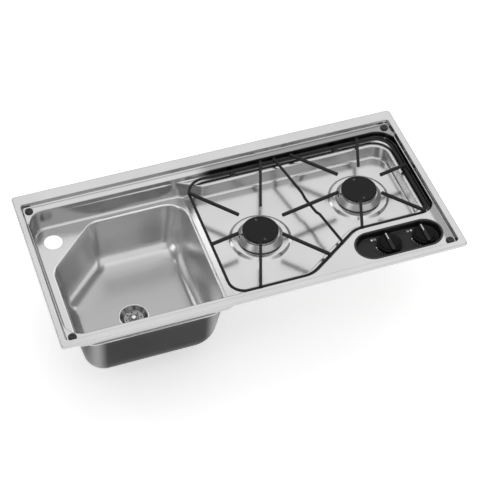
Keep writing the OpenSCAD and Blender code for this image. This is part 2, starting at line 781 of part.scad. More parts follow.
// Unbroken round wire that winds down from the origin
module helix(r, wire, rise, turns) {
    n = turns * spring_segments;
    rings = [for (i = [0:n]) let(a = 360 * turns * i / n)
        [for (k = [0:spring_sides - 1]) let(b = 360 * k / spring_sides)
            [(r + wire * cos(b)) * cos(a), (r + wire * cos(b)) * sin(a),
                rise * i / n + wire * sin(b)]]];
    side_faces = [for (i = [0:n - 1]) for (k = [0:spring_sides - 1])
        let(k2 = (k + 1) % spring_sides, a = i * spring_sides, b = a + spring_sides)
        each [[a + k, b + k, b + k2], [a + k, b + k2, a + k2]]];
    first = [for (k = [0:spring_sides - 1]) k];
    last = [for (k = [spring_sides - 1:-1:0]) n * spring_sides + k];
    polyhedron(points = [for (g = rings) each g], faces = concat(side_faces, [first, last]));
}

knob_bottom = panel_depth - knob_lift;
spindle_top = grip_depth + skirt_h;
module tap_spindle(p) color("darkgoldenrod") difference() {
    post(p, spindle_r, spindle_top, plunger_top);
    spindle_flat(p, 0);
}
// Cut that leaves the flat of the spindle
module spindle_flat(p, gap)
    at(p, knob_bottom) translate([spindle_r * flat_share + gap, -spindle_r * 2, 0])
        cube([spindle_r * 2, spindle_r * 4, knob_bottom]);

module knob(p) color([0.08, 0.08, 0.08]) difference() {
    union() {
        post(p, knob_r, knob_bottom - skirt_h, knob_bottom);
        post(p, knob_body_r, knob_bottom - knob_body_h, knob_bottom, knob_body_r - skirt_h / 2);
        at(p, knob_bottom) translate([-grip_w / 2, -grip_l / 2, 0])
            cube([grip_w, grip_l, knob_bottom - grip_depth]);
    }
    difference() {
        post(p, knob_hollow_r, knob_bottom - skirt_h, knob_bottom + over);
        post(p, knob_hub_r, knob_bottom - skirt_h - over, knob_bottom);
    }
    for (k = [0:notch_count - 1]) post(around(p, knob_r + notch_r / 2, 360 * k / notch_count),
        notch_r, knob_bottom - skirt_h - over, knob_bottom + over);
    difference() {
        post(p, spindle_r + fit_gap / 2, spindle_top - fit_gap, knob_bottom + over);
        spindle_flat(p, fit_gap / 2);
    }
    at(p, grip_depth + pointer_t) translate([-pointer_w / 2, pointer_start, 0])
        cube([pointer_w, pointer_l, over]);
}
module knob_pointer(p) color("white")
    at(p, grip_depth + pointer_t) translate([-pointer_w / 2, pointer_start, 0])
        cube([pointer_w, pointer_l, pointer_t]);

module gas_rail() color("silver") difference() {
    at([rail_start, rail_y], rail_depth) rotate([0, 90, 0])
        cylinder(h = rail_end - rail_start, r = rail_r);
    at([rail_start + rail_wall, rail_y], rail_depth) rotate([0, 90, 0])
        cylinder(h = rail_end - rail_start - 2 * rail_wall, r = rail_r - rail_wall);
    for (p = knob_pos) at([p.x, rail_y - rail_r - over], rail_depth) rotate([-90, 0, 0])
        cylinder(h = rail_r + over, r = feed_r);
}
inlet_y = unit_d - inlet_rear + inlet_r;
inlet_x = rail_end + inlet_x_past;
module inlet_pipe() color("silver") {
    tube_path([way([rail_end, rail_y], rail_depth), way([inlet_x + pipe_bend, rail_y], rail_depth),
        way([inlet_x + pipe_bend, inlet_y], rail_depth),
        way([inlet_x + pipe_bend, inlet_y], inlet_depth)], inlet_r, pipe_bend);
}

feed_ways = [
    [knob_pos[0], [knob_pos[0].x, feed_turn_y], feed_mid, burner_pos[0]],
    [knob_pos[1], [knob_pos[1].x, feed_turn_y], burner_pos[1]]];
module feed_pipe(i) {
    w = feed_ways[i];
    n = len(w) - 1;
    color("silver") tube_path([
        way(w[0], tap_bottom + fit_gap),
        way(w[0], feed_low),
        way(w[1], feed_low),
        for (k = [2:n]) way(w[k], feed_deep),
        way(w[n], jet_bottom)], feed_r, feed_bend);
}

module burner_cup(p) color("darkgray") difference() {
    union() {
        post(p, cup_flange_r, seat_depth + sheet_t, seat_depth + sheet_t + cup_flange_t);
        post(p, cup_r, seat_depth, cup_bottom);
    }
    post(p, neck_r + run_gap, seat_depth - over, neck_depth + fit_gap);
    post(p, neck_r - neck_wall, seat_depth, cup_bottom - cup_wall);
    post(p, jet_r, neck_depth, cup_bottom + over);
    for (k = [0:2]) post(around(p, screw_ring_r, 120 * k), screw_r, seat_depth, pan_depth + over);
}
module burner_jet(p) color("goldenrod") difference() {
    union() {
        post(p, jet_r - run_gap, jet_depth, cup_bottom);
        at(p, jet_bottom) cylinder(h = jet_bottom - cup_bottom, r = jet_nut_r, $fn = 6);
    }
    post(p, jet_hole_r, jet_depth - over, jet_bottom + over);
}
module burner_gasket(p) color([0.08, 0.08, 0.08]) turned(p, [
    [spreader_r - gasket_w, skirt_depth], [spreader_r - sheet_t, skirt_depth],
    [spreader_r - sheet_t, seat_depth], [spreader_r - gasket_w, seat_depth]]);
module burner_screws() color("silver") for (p = burner_pos) for (k = [0:2]) {
    q = around(p, screw_ring_r, 120 * k);
    post(q, screw_head_r, seat_depth - screw_head_h, seat_depth);
    post(q, screw_r, seat_depth, seat_depth + sheet_t + cup_flange_t + screw_head_h);
}
crown_top = cap_depth + cap_t;
shoulder_depth = crown_top + shoulder_drop;
crown_in = crown_r - crown_wall;
module flame_spreader(p) color("darkgray") difference() {
    turned(p, [
        [crown_in, crown_top], [crown_r, crown_top],
        [crown_r, crown_top + port_h], [shoulder_r, shoulder_depth],
        [spreader_r - skirt_bevel, skirt_depth - skirt_edge - skirt_bevel],
        [spreader_r, skirt_depth - skirt_edge],
        [spreader_r, skirt_depth], [spreader_r - gasket_w, skirt_depth],
        [spreader_r - gasket_w, skirt_depth - skirt_edge + skirt_bevel],
        [crown_r, shoulder_depth + crown_wall], [neck_r, shoulder_depth + crown_wall],
        [neck_r, neck_depth], [neck_r - neck_wall, neck_depth],
        [neck_r - neck_wall, shoulder_depth + crown_wall / 2],
        [crown_in, shoulder_depth]]);
    for (k = [0:port_count - 1]) at(p, crown_top + port_h) rotate(360 * k / port_count)
        translate([crown_in - over, -port_w / 2, 0])
        cube([crown_wall + 2 * over, port_w, port_h + over]);
    post(around(p, probe_ring_r, probe_angle), probe_hole_r, crown_top, skirt_depth + over);
}
module burner_cap(p) color([0.1, 0.1, 0.1]) difference() {
    turned(p, [
        [0, cap_depth], [cap_r - cap_chamfer, cap_depth], [cap_r, cap_depth + cap_chamfer],
        [cap_r, crown_top - cap_chamfer / 2], [cap_r - cap_chamfer / 2, crown_top],
        [crown_in - fit_gap, crown_top], [crown_in - fit_gap, crown_top + cap_lip_h],
        [crown_in - fit_gap - cap_lip_t, crown_top + cap_lip_h],
        [crown_in - fit_gap - cap_lip_t, crown_top], [0, crown_top]]);
    for (s = [0, 180]) post(around(p, cap_r * cap_dot_place_share, cap_dot_angle + s), cap_dot_r,
        cap_depth - over, cap_depth + cap_dot_deep);
}
module thermocouple(p) {
    q = around(p, probe_ring_r, probe_angle);
    color("silver") {
        post(q, probe_r, probe_top, probe_bottom);
        post(q, probe_collar_r, probe_collar_top, seat_depth);
        at(q, seat_depth + sheet_t + probe_nut_h) cylinder(h = probe_nut_h, r = probe_nut_r, $fn = 6);
    }
}
module thermocouple_lead(i) color("peru") {
    p = knob_pos[i];
    q = around(burner_pos[i], probe_ring_r, probe_angle);
    back = knob_y + tap_r - magnet_r / 2 + magnet_l;
    tube_path([way([p.x, back], magnet_depth), way([p.x, back + lead_turn], magnet_depth),
        way([p.x, back + lead_turn], lead_low), way(lead_mid[i], lead_low),
        way(q, lead_low + lead_drop), way(q, probe_bottom)], lead_r, lead_bend);
}

// Direction from the left burner to the right one, which the fingers are set out from
star = atan2(burner_right_y - burner_left_y, burner_right_x - burner_left_x);
ring_line = rounded(ring, ring_rs);
module rod(a, b, depth) {
    v = b - a;
    at(a, depth) rotate([0, 90, atan2(v.y, v.x)]) cylinder(h = norm(v), r = rod_r, $fn = 24);
}
module pan_support_ring() color([0.1, 0.1, 0.1]) for (i = [0:len(ring) - 1]) {
    c = corner(ring, ring_rs, i);
    along = unit(at_end(ring, i + 1) - ring[i]) * bend_lap;
    rod(c[1] - along, corner(ring, ring_rs, (i + 1) % len(ring))[0] + along, ring_depth);
    at(c[2], ring_depth) rotate(c[4] > 0 ? c[3] : c[3] + c[4])
        rotate_extrude(angle = abs(c[4])) translate([ring_rs[i], 0])
        circle(rod_r + bend_swell, $fn = 24);
}
module pan_support_fingers() color([0.1, 0.1, 0.1]) {
    for (i = [0, 1]) for (k = [1:5]) {
        p = burner_pos[i];
        a = star + 180 * i + 60 * k;
        reach = ray_hit(p, a, ring_line) + finger_past;
        rod(around(p, finger_tip_r, a), around(p, reach, a), finger_depth);
    }
    rod(around(burner_pos[0], finger_tip_r, star), around(burner_pos[1], finger_tip_r, star + 180),
        finger_depth);
}
// End, on the ring's centre line, of the finger that points along an angle
function finger_end(i, a) = around(burner_pos[i], ray_hit(burner_pos[i], a, ring_line), a);
brace_rear = mix(finger_end(0, star + 60), finger_end(1, star + 120), brace_end_shares[0]);
brace_front = mix(finger_end(0, star - 60), finger_end(1, star + 240), brace_end_shares[1]);
brace_dir = unit(brace_front - brace_rear);
brace_len = ray_hit(brace_rear, atan2(brace_dir.y, brace_dir.x), ring_line) + finger_past;
// Where the brace crosses the long finger, from its rear end
between = burner_pos[1] - burner_pos[0];
brace_cross = cross2(burner_pos[0] - brace_rear, between) / cross2(brace_dir, between);
function brace_at(length, depth) = way(brace_rear + brace_dir * length, depth);
module pan_support_brace() color([0.1, 0.1, 0.1]) {
    from = brace_cross - brace_low;
    to = brace_cross + brace_low;
    pts = [brace_at(-finger_past, finger_depth), brace_at(from - brace_ramp, finger_depth),
        brace_at(from, ring_depth), brace_at(to, ring_depth),
        brace_at(to + brace_ramp, finger_depth), brace_at(brace_len, finger_depth)];
    last = len(pts) - 1;
    for (i = [0:last - 1]) {
        u = unit(pts[i + 1] - pts[i]);
        translate(pts[i]) multmatrix(frame_along(u, any_side(u)))
            cylinder(h = norm(pts[i + 1] - pts[i]), r = rod_r, $fn = 24);
    }
    for (i = [1:last - 1]) translate(pts[i]) sphere(rod_r + brace_swell, $fn = 24);
}
ring_width = ring[4].x - ring[5].x;
foot_pos = [
    for (t = foot_rear_shares) [ring_left + ring_width * t, ring[4].y],
    [ring_left + ring_width * foot_front_share, ring[0].y],
    [ring_left + ring_width * foot_land_share, ring[2].y]];
module pan_support_feet() color([0.05, 0.05, 0.05]) for (q = foot_pos) difference() {
    at([q.x - foot_l / 2, q.y - foot_w / 2], ledge_depth)
        cube([foot_l, foot_w, ledge_depth - ring_depth]);
    at([q.x - foot_l, q.y], ring_depth) rotate([0, 90, 0])
        cylinder(h = 2 * foot_l, r = rod_r, $fn = 24);
}

// Clamps are welded to the outside of the recess and reach out under the kitchen worktop:
// place in plan, direction and reach
left_reach = flange_left - sheet_t - clamp_left_gap;
right_reach = flange_right - sheet_t - clamp_end_gap;
rear_reach = flange_rear - sheet_t - clamp_end_gap;
clamp_places = concat(
    [for (t = clamp_side_shares) [flange_left - sheet_t, unit_d * t, 90, left_reach]],
    [for (t = clamp_side_shares) [unit_w - flange_right + sheet_t, unit_d * t, -90, right_reach]],
    [for (t = clamp_rear_shares) [unit_w * t, unit_d - flange_rear + sheet_t, 0, rear_reach]]);
module clamp_brackets() color("gray") for (c = clamp_places)
    at([c[0], c[1]], clamp_drop) rotate(c[2]) difference() {
        union() {
            translate([-clamp_w / 2, 0, 0]) cube([clamp_w, clamp_t, clamp_drop - sheet_t]);
            translate([-clamp_w / 2, 0, 0]) cube([clamp_w, c[3], clamp_t]);
        }
        translate([0, c[3] - clamp_screw_inset, -over])
            cylinder(h = clamp_t + 2 * over, r = clamp_screw_r + fit_gap);
    }
module clamp_screws() color("silver") for (c = clamp_places)
    at([c[0], c[1]], clamp_drop + clamp_screw_l / 2) rotate(c[2])
        translate([0, c[3] - clamp_screw_inset, 0]) cylinder(h = clamp_screw_l, r = clamp_screw_r);

worktop();
sink_bowl();
rim_seal();
corner_bumpers();
drain_flange();
drain_strainer();
drain_screw();
drain_gasket();
waste_body();
control_panel();
tap_bracket();
bracket_nuts();
gas_rail();
inlet_pipe();
gas_tap(knob_pos[0]);  // gas_tap_left
gas_tap(knob_pos[1]);  // gas_tap_right
magnet_valve(knob_pos[0]);  // magnet_valve_left
magnet_valve(knob_pos[1]);  // magnet_valve_right
tap_plunger(knob_pos[0]);  // tap_plunger_left
tap_plunger(knob_pos[1]);  // tap_plunger_right
tap_spring(knob_pos[0]);  // tap_spring_left
tap_spring(knob_pos[1]);  // tap_spring_right
tap_spindle(knob_pos[0]);  // tap_spindle_left
tap_spindle(knob_pos[1]);  // tap_spindle_right
knob(knob_pos[0]);  // knob_left
knob(knob_pos[1]);  // knob_right
knob_pointer(knob_pos[0]);  // knob_pointer_left
knob_pointer(knob_pos[1]);  // knob_pointer_right
feed_pipe(0);  // feed_pipe_left
feed_pipe(1);  // feed_pipe_right
burner_cup(burner_pos[0]);  // burner_cup_left
burner_cup(burner_pos[1]);  // burner_cup_right
burner_jet(burner_pos[0]);  // burner_jet_left
burner_jet(burner_pos[1]);  // burner_jet_right
burner_gasket(burner_pos[0]);  // burner_gasket_left
burner_gasket(burner_pos[1]);  // burner_gasket_right
flame_spreader(burner_pos[0]);  // flame_spreader_left
flame_spreader(burner_pos[1]);  // flame_spreader_right
burner_cap(burner_pos[0]);  // burner_cap_left
burner_cap(burner_pos[1]);  // burner_cap_right
thermocouple(burner_pos[0]);  // thermocouple_left
thermocouple(burner_pos[1]);  // thermocouple_right
thermocouple_lead(0);  // thermocouple_lead_left
thermocouple_lead(1);  // thermocouple_lead_right
burner_screws();
pan_support_ring();
pan_support_fingers();
pan_support_brace();
pan_support_feet();
clamp_brackets();
clamp_screws();
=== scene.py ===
"""Looks of a built-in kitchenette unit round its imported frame: steel top, bowl, hob and gas fittings."""

import math

import bmesh
import bpy
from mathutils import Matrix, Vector


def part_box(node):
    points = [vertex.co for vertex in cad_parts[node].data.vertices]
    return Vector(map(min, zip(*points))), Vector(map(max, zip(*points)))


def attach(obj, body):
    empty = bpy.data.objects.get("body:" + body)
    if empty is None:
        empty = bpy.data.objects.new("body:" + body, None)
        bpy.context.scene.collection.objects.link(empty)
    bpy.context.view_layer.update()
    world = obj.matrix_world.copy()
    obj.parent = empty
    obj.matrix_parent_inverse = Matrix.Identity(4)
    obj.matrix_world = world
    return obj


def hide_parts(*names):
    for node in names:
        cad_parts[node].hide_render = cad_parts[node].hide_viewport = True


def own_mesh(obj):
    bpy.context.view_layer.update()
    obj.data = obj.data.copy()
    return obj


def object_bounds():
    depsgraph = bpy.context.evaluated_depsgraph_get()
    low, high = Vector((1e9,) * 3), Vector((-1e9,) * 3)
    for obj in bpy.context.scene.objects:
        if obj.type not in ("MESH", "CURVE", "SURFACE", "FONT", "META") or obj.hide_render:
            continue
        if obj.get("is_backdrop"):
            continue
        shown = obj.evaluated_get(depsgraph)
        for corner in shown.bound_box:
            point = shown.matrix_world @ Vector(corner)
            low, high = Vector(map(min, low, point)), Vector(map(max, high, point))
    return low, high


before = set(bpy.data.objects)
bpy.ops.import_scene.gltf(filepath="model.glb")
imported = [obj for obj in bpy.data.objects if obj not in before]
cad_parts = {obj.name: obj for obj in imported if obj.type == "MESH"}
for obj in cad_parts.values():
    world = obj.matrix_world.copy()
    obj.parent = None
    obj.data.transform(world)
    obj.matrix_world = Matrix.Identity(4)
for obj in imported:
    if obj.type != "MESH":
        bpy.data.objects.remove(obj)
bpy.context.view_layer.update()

# Camera, solved from the straight edges of the top in the photograph
CAMERA_PLACE = (-0.7302, -2.0953, 2.3672)
CAMERA_FORWARD = Vector((0.2244, 0.6373, -0.7372))
CAMERA_UP = Vector((0.2345, 0.6989, 0.6757))
CAMERA_LENS = 117.0
CAMERA_SENSOR = 36.0
CAMERA_REACH = 50.0


def set_camera():
    """Looks along the photograph's direction, with its field of view."""
    bpy.ops.object.camera_add(location=CAMERA_PLACE)
    camera = bpy.context.object
    right = CAMERA_FORWARD.cross(CAMERA_UP).normalized()
    up = right.cross(CAMERA_FORWARD).normalized()
    turn = camera.rotation_euler.to_matrix()
    for row in range(3):
        turn[row] = (right[row], up[row], -CAMERA_FORWARD[row])
    camera.rotation_euler = turn.to_euler()
    camera.data.sensor_width = CAMERA_SENSOR
    camera.data.lens = CAMERA_LENS
    camera.data.clip_end = CAMERA_REACH
    bpy.context.scene.camera = camera


set_camera()

# Lengths are in millimetres: x from the left edge of the top, y from its front edge, d down from its face
MM = 0.001
TOP_LOW, TOP_HIGH = (Vector(corner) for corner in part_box("worktop"))
UNIT_W = (TOP_HIGH.x - TOP_LOW.x) / MM
UNIT_D = (TOP_HIGH.y - TOP_LOW.y) / MM


def spot(x, y, d):
    """Place in the frame of a plan place and a depth."""
    return Vector((TOP_LOW.x + x * MM, TOP_LOW.y + y * MM, TOP_HIGH.z - d * MM))


def middle(node):
    """Plan place of a node's middle."""
    low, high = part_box(node)
    return Vector((((low[0] + high[0]) / 2 - TOP_LOW.x) / MM, ((low[1] + high[1]) / 2 - TOP_LOW.y) / MM))


def depths(node):
    """Depths of a node's top and bottom."""
    low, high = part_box(node)
    return (TOP_HIGH.z - high[2]) / MM, (TOP_HIGH.z - low[2]) / MM


# Pressed sheet
SHEET = 1.0
RIM_H = 7.0
RIM_R = 2.6
CORNER_R = 7.0
FLANGE = (13.5, 14.0, 27.0, 13.0)
RECESS_D = 9.5
RECESS_R = 9.0
RECESS_RUN = 3.6
DISH = [Vector((20, 30)), Vector((533, 30)), Vector((659, 117)), Vector((842, 117)), Vector((842, 378)),
        Vector((20, 378))]
DISH_RADII = (38, 60, 44, 34, 45, 40)
WALL_SLOPE = 0.1
LEDGE_D = 22.0
PAN_D = 52.0
SINK_D = 60.0
PAN_INSET = (18, 18, 18, 26, 29, 0)
BEND_X = (352.0, 398.0)
BEND_RADII = (30, 25)
RAMP_X = (361.0, 372.0)
RAMP_LEAN = 3.5
TAP_HOLE = Vector((63, 328))
TAP_HOLE_R = 19.5

# Bowl
BOWL = [Vector((44, 36)), Vector((354, 36)), Vector((354, 357)), Vector((152, 357)), Vector((44, 249))]
BOWL_RADII = (38, 44, 48, 38, 38)
BOWL_RUNS = (18.9, 52.5, 71.4, 56.7, 39.9)
BOWL_D = 168.0
BOWL_FILLET = 42.0
BOWL_ROLL = 4.0
BOWL_WALL_SHARE = 0.3
BOWL_FLOOR_R_SHARE = 0.6
BOWL_LEAN = 16.2
BOWL_FALL = 2.9
DRAIN = middle("drain_flange")
DRAIN_SEAT_R = 35.0
DRAIN_HOLE_R = 29.0
FLOOR_RINGS = 12

# Hob
BURNERS = {side: middle("burner_cap_" + side) for side in ("left", "right")}
SEAT_RADII = (66.3, 60.0)
SEAT_TOP = 48.0
PAN_HOLE_R = 26.0

CORNER_STEPS = 10
FILLET_STEPS = 5


def turned_by(direction, angle):
    """A plan direction, turned anticlockwise."""
    c, s = math.cos(angle), math.sin(angle)
    return Vector((direction.x * c - direction.y * s, direction.x * s + direction.y * c))


def polar(centre, radius, degrees):
    """Plan place at an angle and a distance from a centre."""
    angle = math.radians(degrees)
    return Vector((centre.x + radius * math.cos(angle), centre.y + radius * math.sin(angle)))


def inset_edges(points, runs):
    """Outline whose edges are moved inwards, each by its own run; edge i leaves point i."""
    moved = []
    for i, point in enumerate(points):
        before = (point - points[i - 1]).normalized()
        after = (points[(i + 1) % len(points)] - point).normalized()
        n1, n2 = Vector((-before.y, before.x)), Vector((-after.y, after.x))
        s1, s2 = runs[i - 1], runs[i]
        det = n1.x * n2.y - n1.y * n2.x
        if abs(det) < 1e-6:
            moved.append(point + n1 * s1)
        else:
            moved.append(point + Vector((s1 * n2.y - s2 * n1.y, s2 * n1.x - s1 * n2.x)) / det)
    return moved


def rounded(points, radii, splits=None, steps=CORNER_STEPS):
    """Stations (place, inward direction) round an anticlockwise outline with rounded corners.

    splits gives, for the straight after each corner, the shares of its length where stations stand.
    """
    arcs = []
    for i, point in enumerate(points):
        u = (point - points[i - 1]).normalized()
        v = (points[(i + 1) % len(points)] - point).normalized()
        turn = math.atan2(u.x * v.y - u.y * v.x, u.dot(v))
        side = 1 if turn >= 0 else -1
        start = point - u * radii[i] * math.tan(abs(turn) / 2)
        inward = Vector((-u.y, u.x))
        centre = start + inward * side * radii[i]
        arc = []
        for k in range(steps + 1):
            direction = turned_by(inward, turn * k / steps)
            arc.append((centre - direction * side * radii[i], direction))
        arcs.append(arc)
    stations = []
    for i, arc in enumerate(arcs):
        stations += arc
        start, following = arc[-1], arcs[(i + 1) % len(arcs)][0]
        for share in (splits[i] if splits else ()):
            stations.append((start[0].lerp(following[0], share), start[1]))
    return stations


def away_from(heart, place):
    """Plan distance between two places of the frame."""
    return math.hypot(place.x - heart.x, place.y - heart.y) / MM


def loop_at(stations, run, depth):
    """Places of a loop: an outline moved inwards, at a depth."""
    return [spot(*(place + inward * run), depth) for place, inward in stations]


def softened(points, radii, steps=FILLET_STEPS):
    """Open or hooked line of (run, depth) points with its inner corners rounded."""
    line = [Vector(points[0])]
    for before, here, after, radius in zip(points, points[1:], points[2:], radii):
        before, here, after = Vector(before), Vector(here), Vector(after)
        u, v = (here - before).normalized(), (after - here).normalized()
        turn = math.atan2(u.x * v.y - u.y * v.x, u.dot(v))
        side = 1 if turn >= 0 else -1
        start = here - u * radius * math.tan(abs(turn) / 2)
        inward = Vector((-u.y, u.x)) * side
        centre = start + inward * radius
        for k in range(steps + 1):
            line.append(centre - turned_by(inward, turn * k / steps) * radius)
    line.append(Vector(points[-1]))
    return line


# Modelling steps: a mesh grows in edit mode from loops that carry a number
def only(piece):
    """Selects one piece and makes it active."""
    bpy.ops.object.select_all(action="DESELECT")
    piece.select_set(True)
    bpy.context.view_layer.objects.active = piece


def layers(piece):
    """Mesh under edit with its two numbers: which loop, and which station round it."""
    mesh = bmesh.from_edit_mesh(piece.data)
    return mesh, mesh.verts.layers.int["loop"], mesh.verts.layers.int["station"]


def begin(name):
    """Starts an empty mesh piece and stays in edit mode."""
    bpy.ops.object.select_all(action="DESELECT")
    bpy.ops.mesh.primitive_circle_add(vertices=3, fill_type="NOTHING")
    piece = bpy.context.object
    piece.name = piece.data.name = name
    bpy.ops.object.mode_set(mode="EDIT")
    bpy.ops.mesh.select_mode(type="EDGE")
    bpy.ops.mesh.delete(type="VERT")
    mesh = bmesh.from_edit_mesh(piece.data)
    mesh.verts.layers.int.new("loop")
    mesh.verts.layers.int.new("station")
    bmesh.update_edit_mesh(piece.data)
    return piece


def add_loop(piece, places, number):
    """Adds a closed loop of edges through places, left selected."""
    bpy.ops.mesh.select_all(action="DESELECT")
    bpy.ops.mesh.primitive_circle_add(vertices=len(places), fill_type="NOTHING")
    mesh, loop, station = layers(piece)
    vert, before = next(vert for vert in mesh.verts if vert.select), None
    for k, place in enumerate(places):
        vert.co = place
        vert[loop], vert[station] = number, k
        ahead = [edge.other_vert(vert) for edge in vert.link_edges]
        before, vert = vert, ahead[0] if ahead[0] != before else ahead[1]
    bmesh.update_edit_mesh(piece.data)


def pull_loop(piece, places, number):
    """Extrudes the selected loop to new places."""
    bpy.ops.mesh.extrude_edges_move()
    mesh, loop, station = layers(piece)
    for vert in mesh.verts:
        if vert.select:
            vert.co = places[vert[station]]
            vert[loop] = number
    bmesh.update_edit_mesh(piece.data)


def pick_loops(piece, numbers, keep=None):
    """Selects the edges that lie in loops of these numbers; keep may refuse an edge by its middle."""
    bpy.ops.mesh.select_all(action="DESELECT")
    mesh, loop, _ = layers(piece)
    for edge in mesh.edges:
        ends = {vert[loop] for vert in edge.verts}
        if len(ends) == 1 and ends <= set(numbers):
            if keep is None or keep((edge.verts[0].co + edge.verts[1].co) / 2):
                edge.select = True
    mesh.select_flush(True)
    bmesh.update_edit_mesh(piece.data)


def sweep(piece, loop_of, line, first=1):
    """Grows a loop for each point of a line, numbered from the first on."""
    add_loop(piece, loop_of(*line[0]), first)
    for number, point in enumerate(line[1:], first + 1):
        pull_loop(piece, loop_of(*point), number)


def fill_between(piece, *numbers):
    """Closes the flat between loops, with the inner ones as holes."""
    pick_loops(piece, numbers)
    bpy.ops.mesh.fill(use_beauty=False)


def end(piece, up=None):
    """Leaves edit mode with clean normals; up is a depth direction that an open face has to show."""
    bpy.ops.mesh.select_all(action="SELECT")
    bpy.ops.mesh.remove_doubles(threshold=0.01 * MM)
    bpy.ops.mesh.normals_make_consistent(inside=False)
    mesh = bmesh.from_edit_mesh(piece.data)
    if up is not None:
        tilt = sum(face.normal.z * face.calc_area() for face in mesh.faces)
        if tilt * up < 0:
            bpy.ops.mesh.flip_normals()
    bpy.ops.object.mode_set(mode="OBJECT")
    for name in ("loop", "station"):
        layer = piece.data.attributes.get(name)
        if layer:
            piece.data.attributes.remove(layer)


def apply_modifier(piece, kind, **settings):
    """Adds a modifier to a piece and applies it."""
    only(piece)
    bpy.ops.object.modifier_add(type=kind)
    modifier = piece.modifiers[-1]
    for key, value in settings.items():
        setattr(modifier, key, value)
    bpy.ops.object.modifier_apply(modifier=modifier.name)


def smooth(piece, angle=35):
    """Shades a piece smooth, with edges sharper than an angle kept."""
    only(piece)
    bpy.ops.object.shade_smooth_by_angle(angle=math.radians(angle), keep_sharp_edges=False)


def dress(piece, body, material, slot, *nodes):
    """Gives a piece its finish and its body, and the nodes that it stands for."""
    if material:
        piece.data.materials.clear()
        piece.data.materials.append(material)
    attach(piece, body)
    if nodes:
        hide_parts(*nodes)


def join(pieces, name):
    """Joins pieces into one."""
    only(pieces[0])
    for piece in pieces:
        piece.select_set(True)
    bpy.ops.object.join()
    pieces[0].name = pieces[0].data.name = name
    return pieces[0]


# Materials
RELIEF = 0.2 * MM


def shader_tree(name):
    """A new material with its tree and its main shader."""
    material = bpy.data.materials.new(name)
    material.use_nodes = True
    return material, material.node_tree, material.node_tree.nodes["Principled BSDF"]


def feed(tree, node, inputs):
    """Gives a node its inputs, each a value or another node's output."""
    for key, value in inputs.items():
        if isinstance(value, bpy.types.NodeSocket):
            tree.links.new(value, node.inputs[key])
        else:
            node.inputs[key].default_value = value


def add_node(tree, kind, inputs=None, **settings):
    """Adds a shader node with its settings and inputs."""
    made = tree.nodes.new(kind)
    for key, value in settings.items():
        setattr(made, key, value)
    feed(tree, made, inputs or {})
    return made


def brushing_group():
    """Fine parallel scratches with a slow variation: direction by the three scales."""
    group = bpy.data.node_groups.new("brushing", "ShaderNodeTree")
    sockets = group.interface
    for name in ("Scratches", "Clouds"):
        socket = sockets.new_socket(name, in_out="INPUT", socket_type="NodeSocketVector")
        socket.default_value = (100, 100, 100)
    for name in ("Streak", "Cloud"):
        sockets.new_socket(name, in_out="OUTPUT", socket_type="NodeSocketFloat")
    inside = add_node(group, "NodeGroupInput")
    outside = add_node(group, "NodeGroupOutput")
    place = add_node(group, "ShaderNodeTexCoord")
    for source, target, detail in (("Scratches", "Streak", 3.0), ("Clouds", "Cloud", 2.0)):
        stretch = add_node(group, "ShaderNodeVectorMath",
                           {0: place.outputs["Object"], 1: inside.outputs[source]}, operation="MULTIPLY")
        noise = add_node(group, "ShaderNodeTexNoise",
                         {"Vector": stretch.outputs[0], "Scale": 1.0, "Detail": detail, "Roughness": 0.6})
        group.links.new(noise.outputs["Fac"], outside.inputs[target])
    return group


BRUSHING = brushing_group()


def ramp_between(tree, value, start, stop):
    """Soft step of a value between two bounds."""
    step = add_node(tree, "ShaderNodeMapRange", {"Value": value, "From Min": start, "From Max": stop},
                    interpolation_type="SMOOTHSTEP")
    return step.outputs[0]


def reckon(tree, operation, total, *values):
    """Values reckoned one after the other by a mathematical operation."""
    for value in values or (0.0,):
        total = add_node(tree, "ShaderNodeMath", {0: total, 1: value}, operation=operation).outputs[0]
    return total


def tinted(material, tint, mask_of):
    """Mixes a tint into a material's colour by a mask made from Object coordinates."""
    tree = material.node_tree
    shader = tree.nodes["Principled BSDF"]
    place = add_node(tree, "ShaderNodeTexCoord")
    axes = add_node(tree, "ShaderNodeSeparateXYZ", {0: place.outputs["Object"]})
    source = shader.inputs["Base Color"].links[0].from_socket
    mixed = add_node(tree, "ShaderNodeMix", {0: mask_of(tree, *axes.outputs), 6: source, 7: tint},
                     data_type="RGBA")
    tree.links.new(mixed.outputs[2], shader.inputs["Base Color"])


# Where the steel of the top is painted dark as painted shade and painted reflection, behind and beside the
# pan support
GROOVE = Vector((822, 358))
GROOVE_SHADE_STRENGTH = 0.95


def painted_groove_shade_mask(tree, x, y, z):
    """Painted shade: the groove between the pan support and the wall behind and beside it, where the steel is
    painted dark to stand in for the shade and the dark reflection of the rods there.
    """
    east, north = spot(*GROOVE, 0).x, spot(*GROOVE, 0).y
    start = ramp_between(tree, x, spot(388, 0, 0).x, spot(430, 0, 0).x)
    rear = ramp_between(tree, y, north, north + 8 * MM)
    right = ramp_between(tree, x, east, east + 7 * MM)
    edge = reckon(tree, "MAXIMUM", rear, right)
    under = ramp_between(tree, z, spot(0, 0, 8.6).z, spot(0, 0, 10.4).z)
    above = ramp_between(tree, z, spot(0, 0, 34).z, spot(0, 0, 22).z)
    return reckon(tree, "MULTIPLY", start, edge, under, above, GROOVE_SHADE_STRENGTH)


def floor_mask(tree, x, y, z):
    """The floor of the bowl, where the steel is darker towards the bottom."""
    return ramp_between(tree, z, spot(0, 0, 150).z, spot(0, 0, 164).z)


def painted_corner_highlight_mask(tree, x, y, z):
    """Painted highlight: the outer corners at the front of the bowl, painted brighter than its flats."""
    masks = []
    for heart, half in ((76, 24), (326, 24)):
        away = reckon(tree, "ABSOLUTE", reckon(tree, "SUBTRACT", x, spot(heart, 0, 0).x))
        masks.append(ramp_between(tree, away, half * MM, 0.0))
    return reckon(tree, "MAXIMUM", *masks)


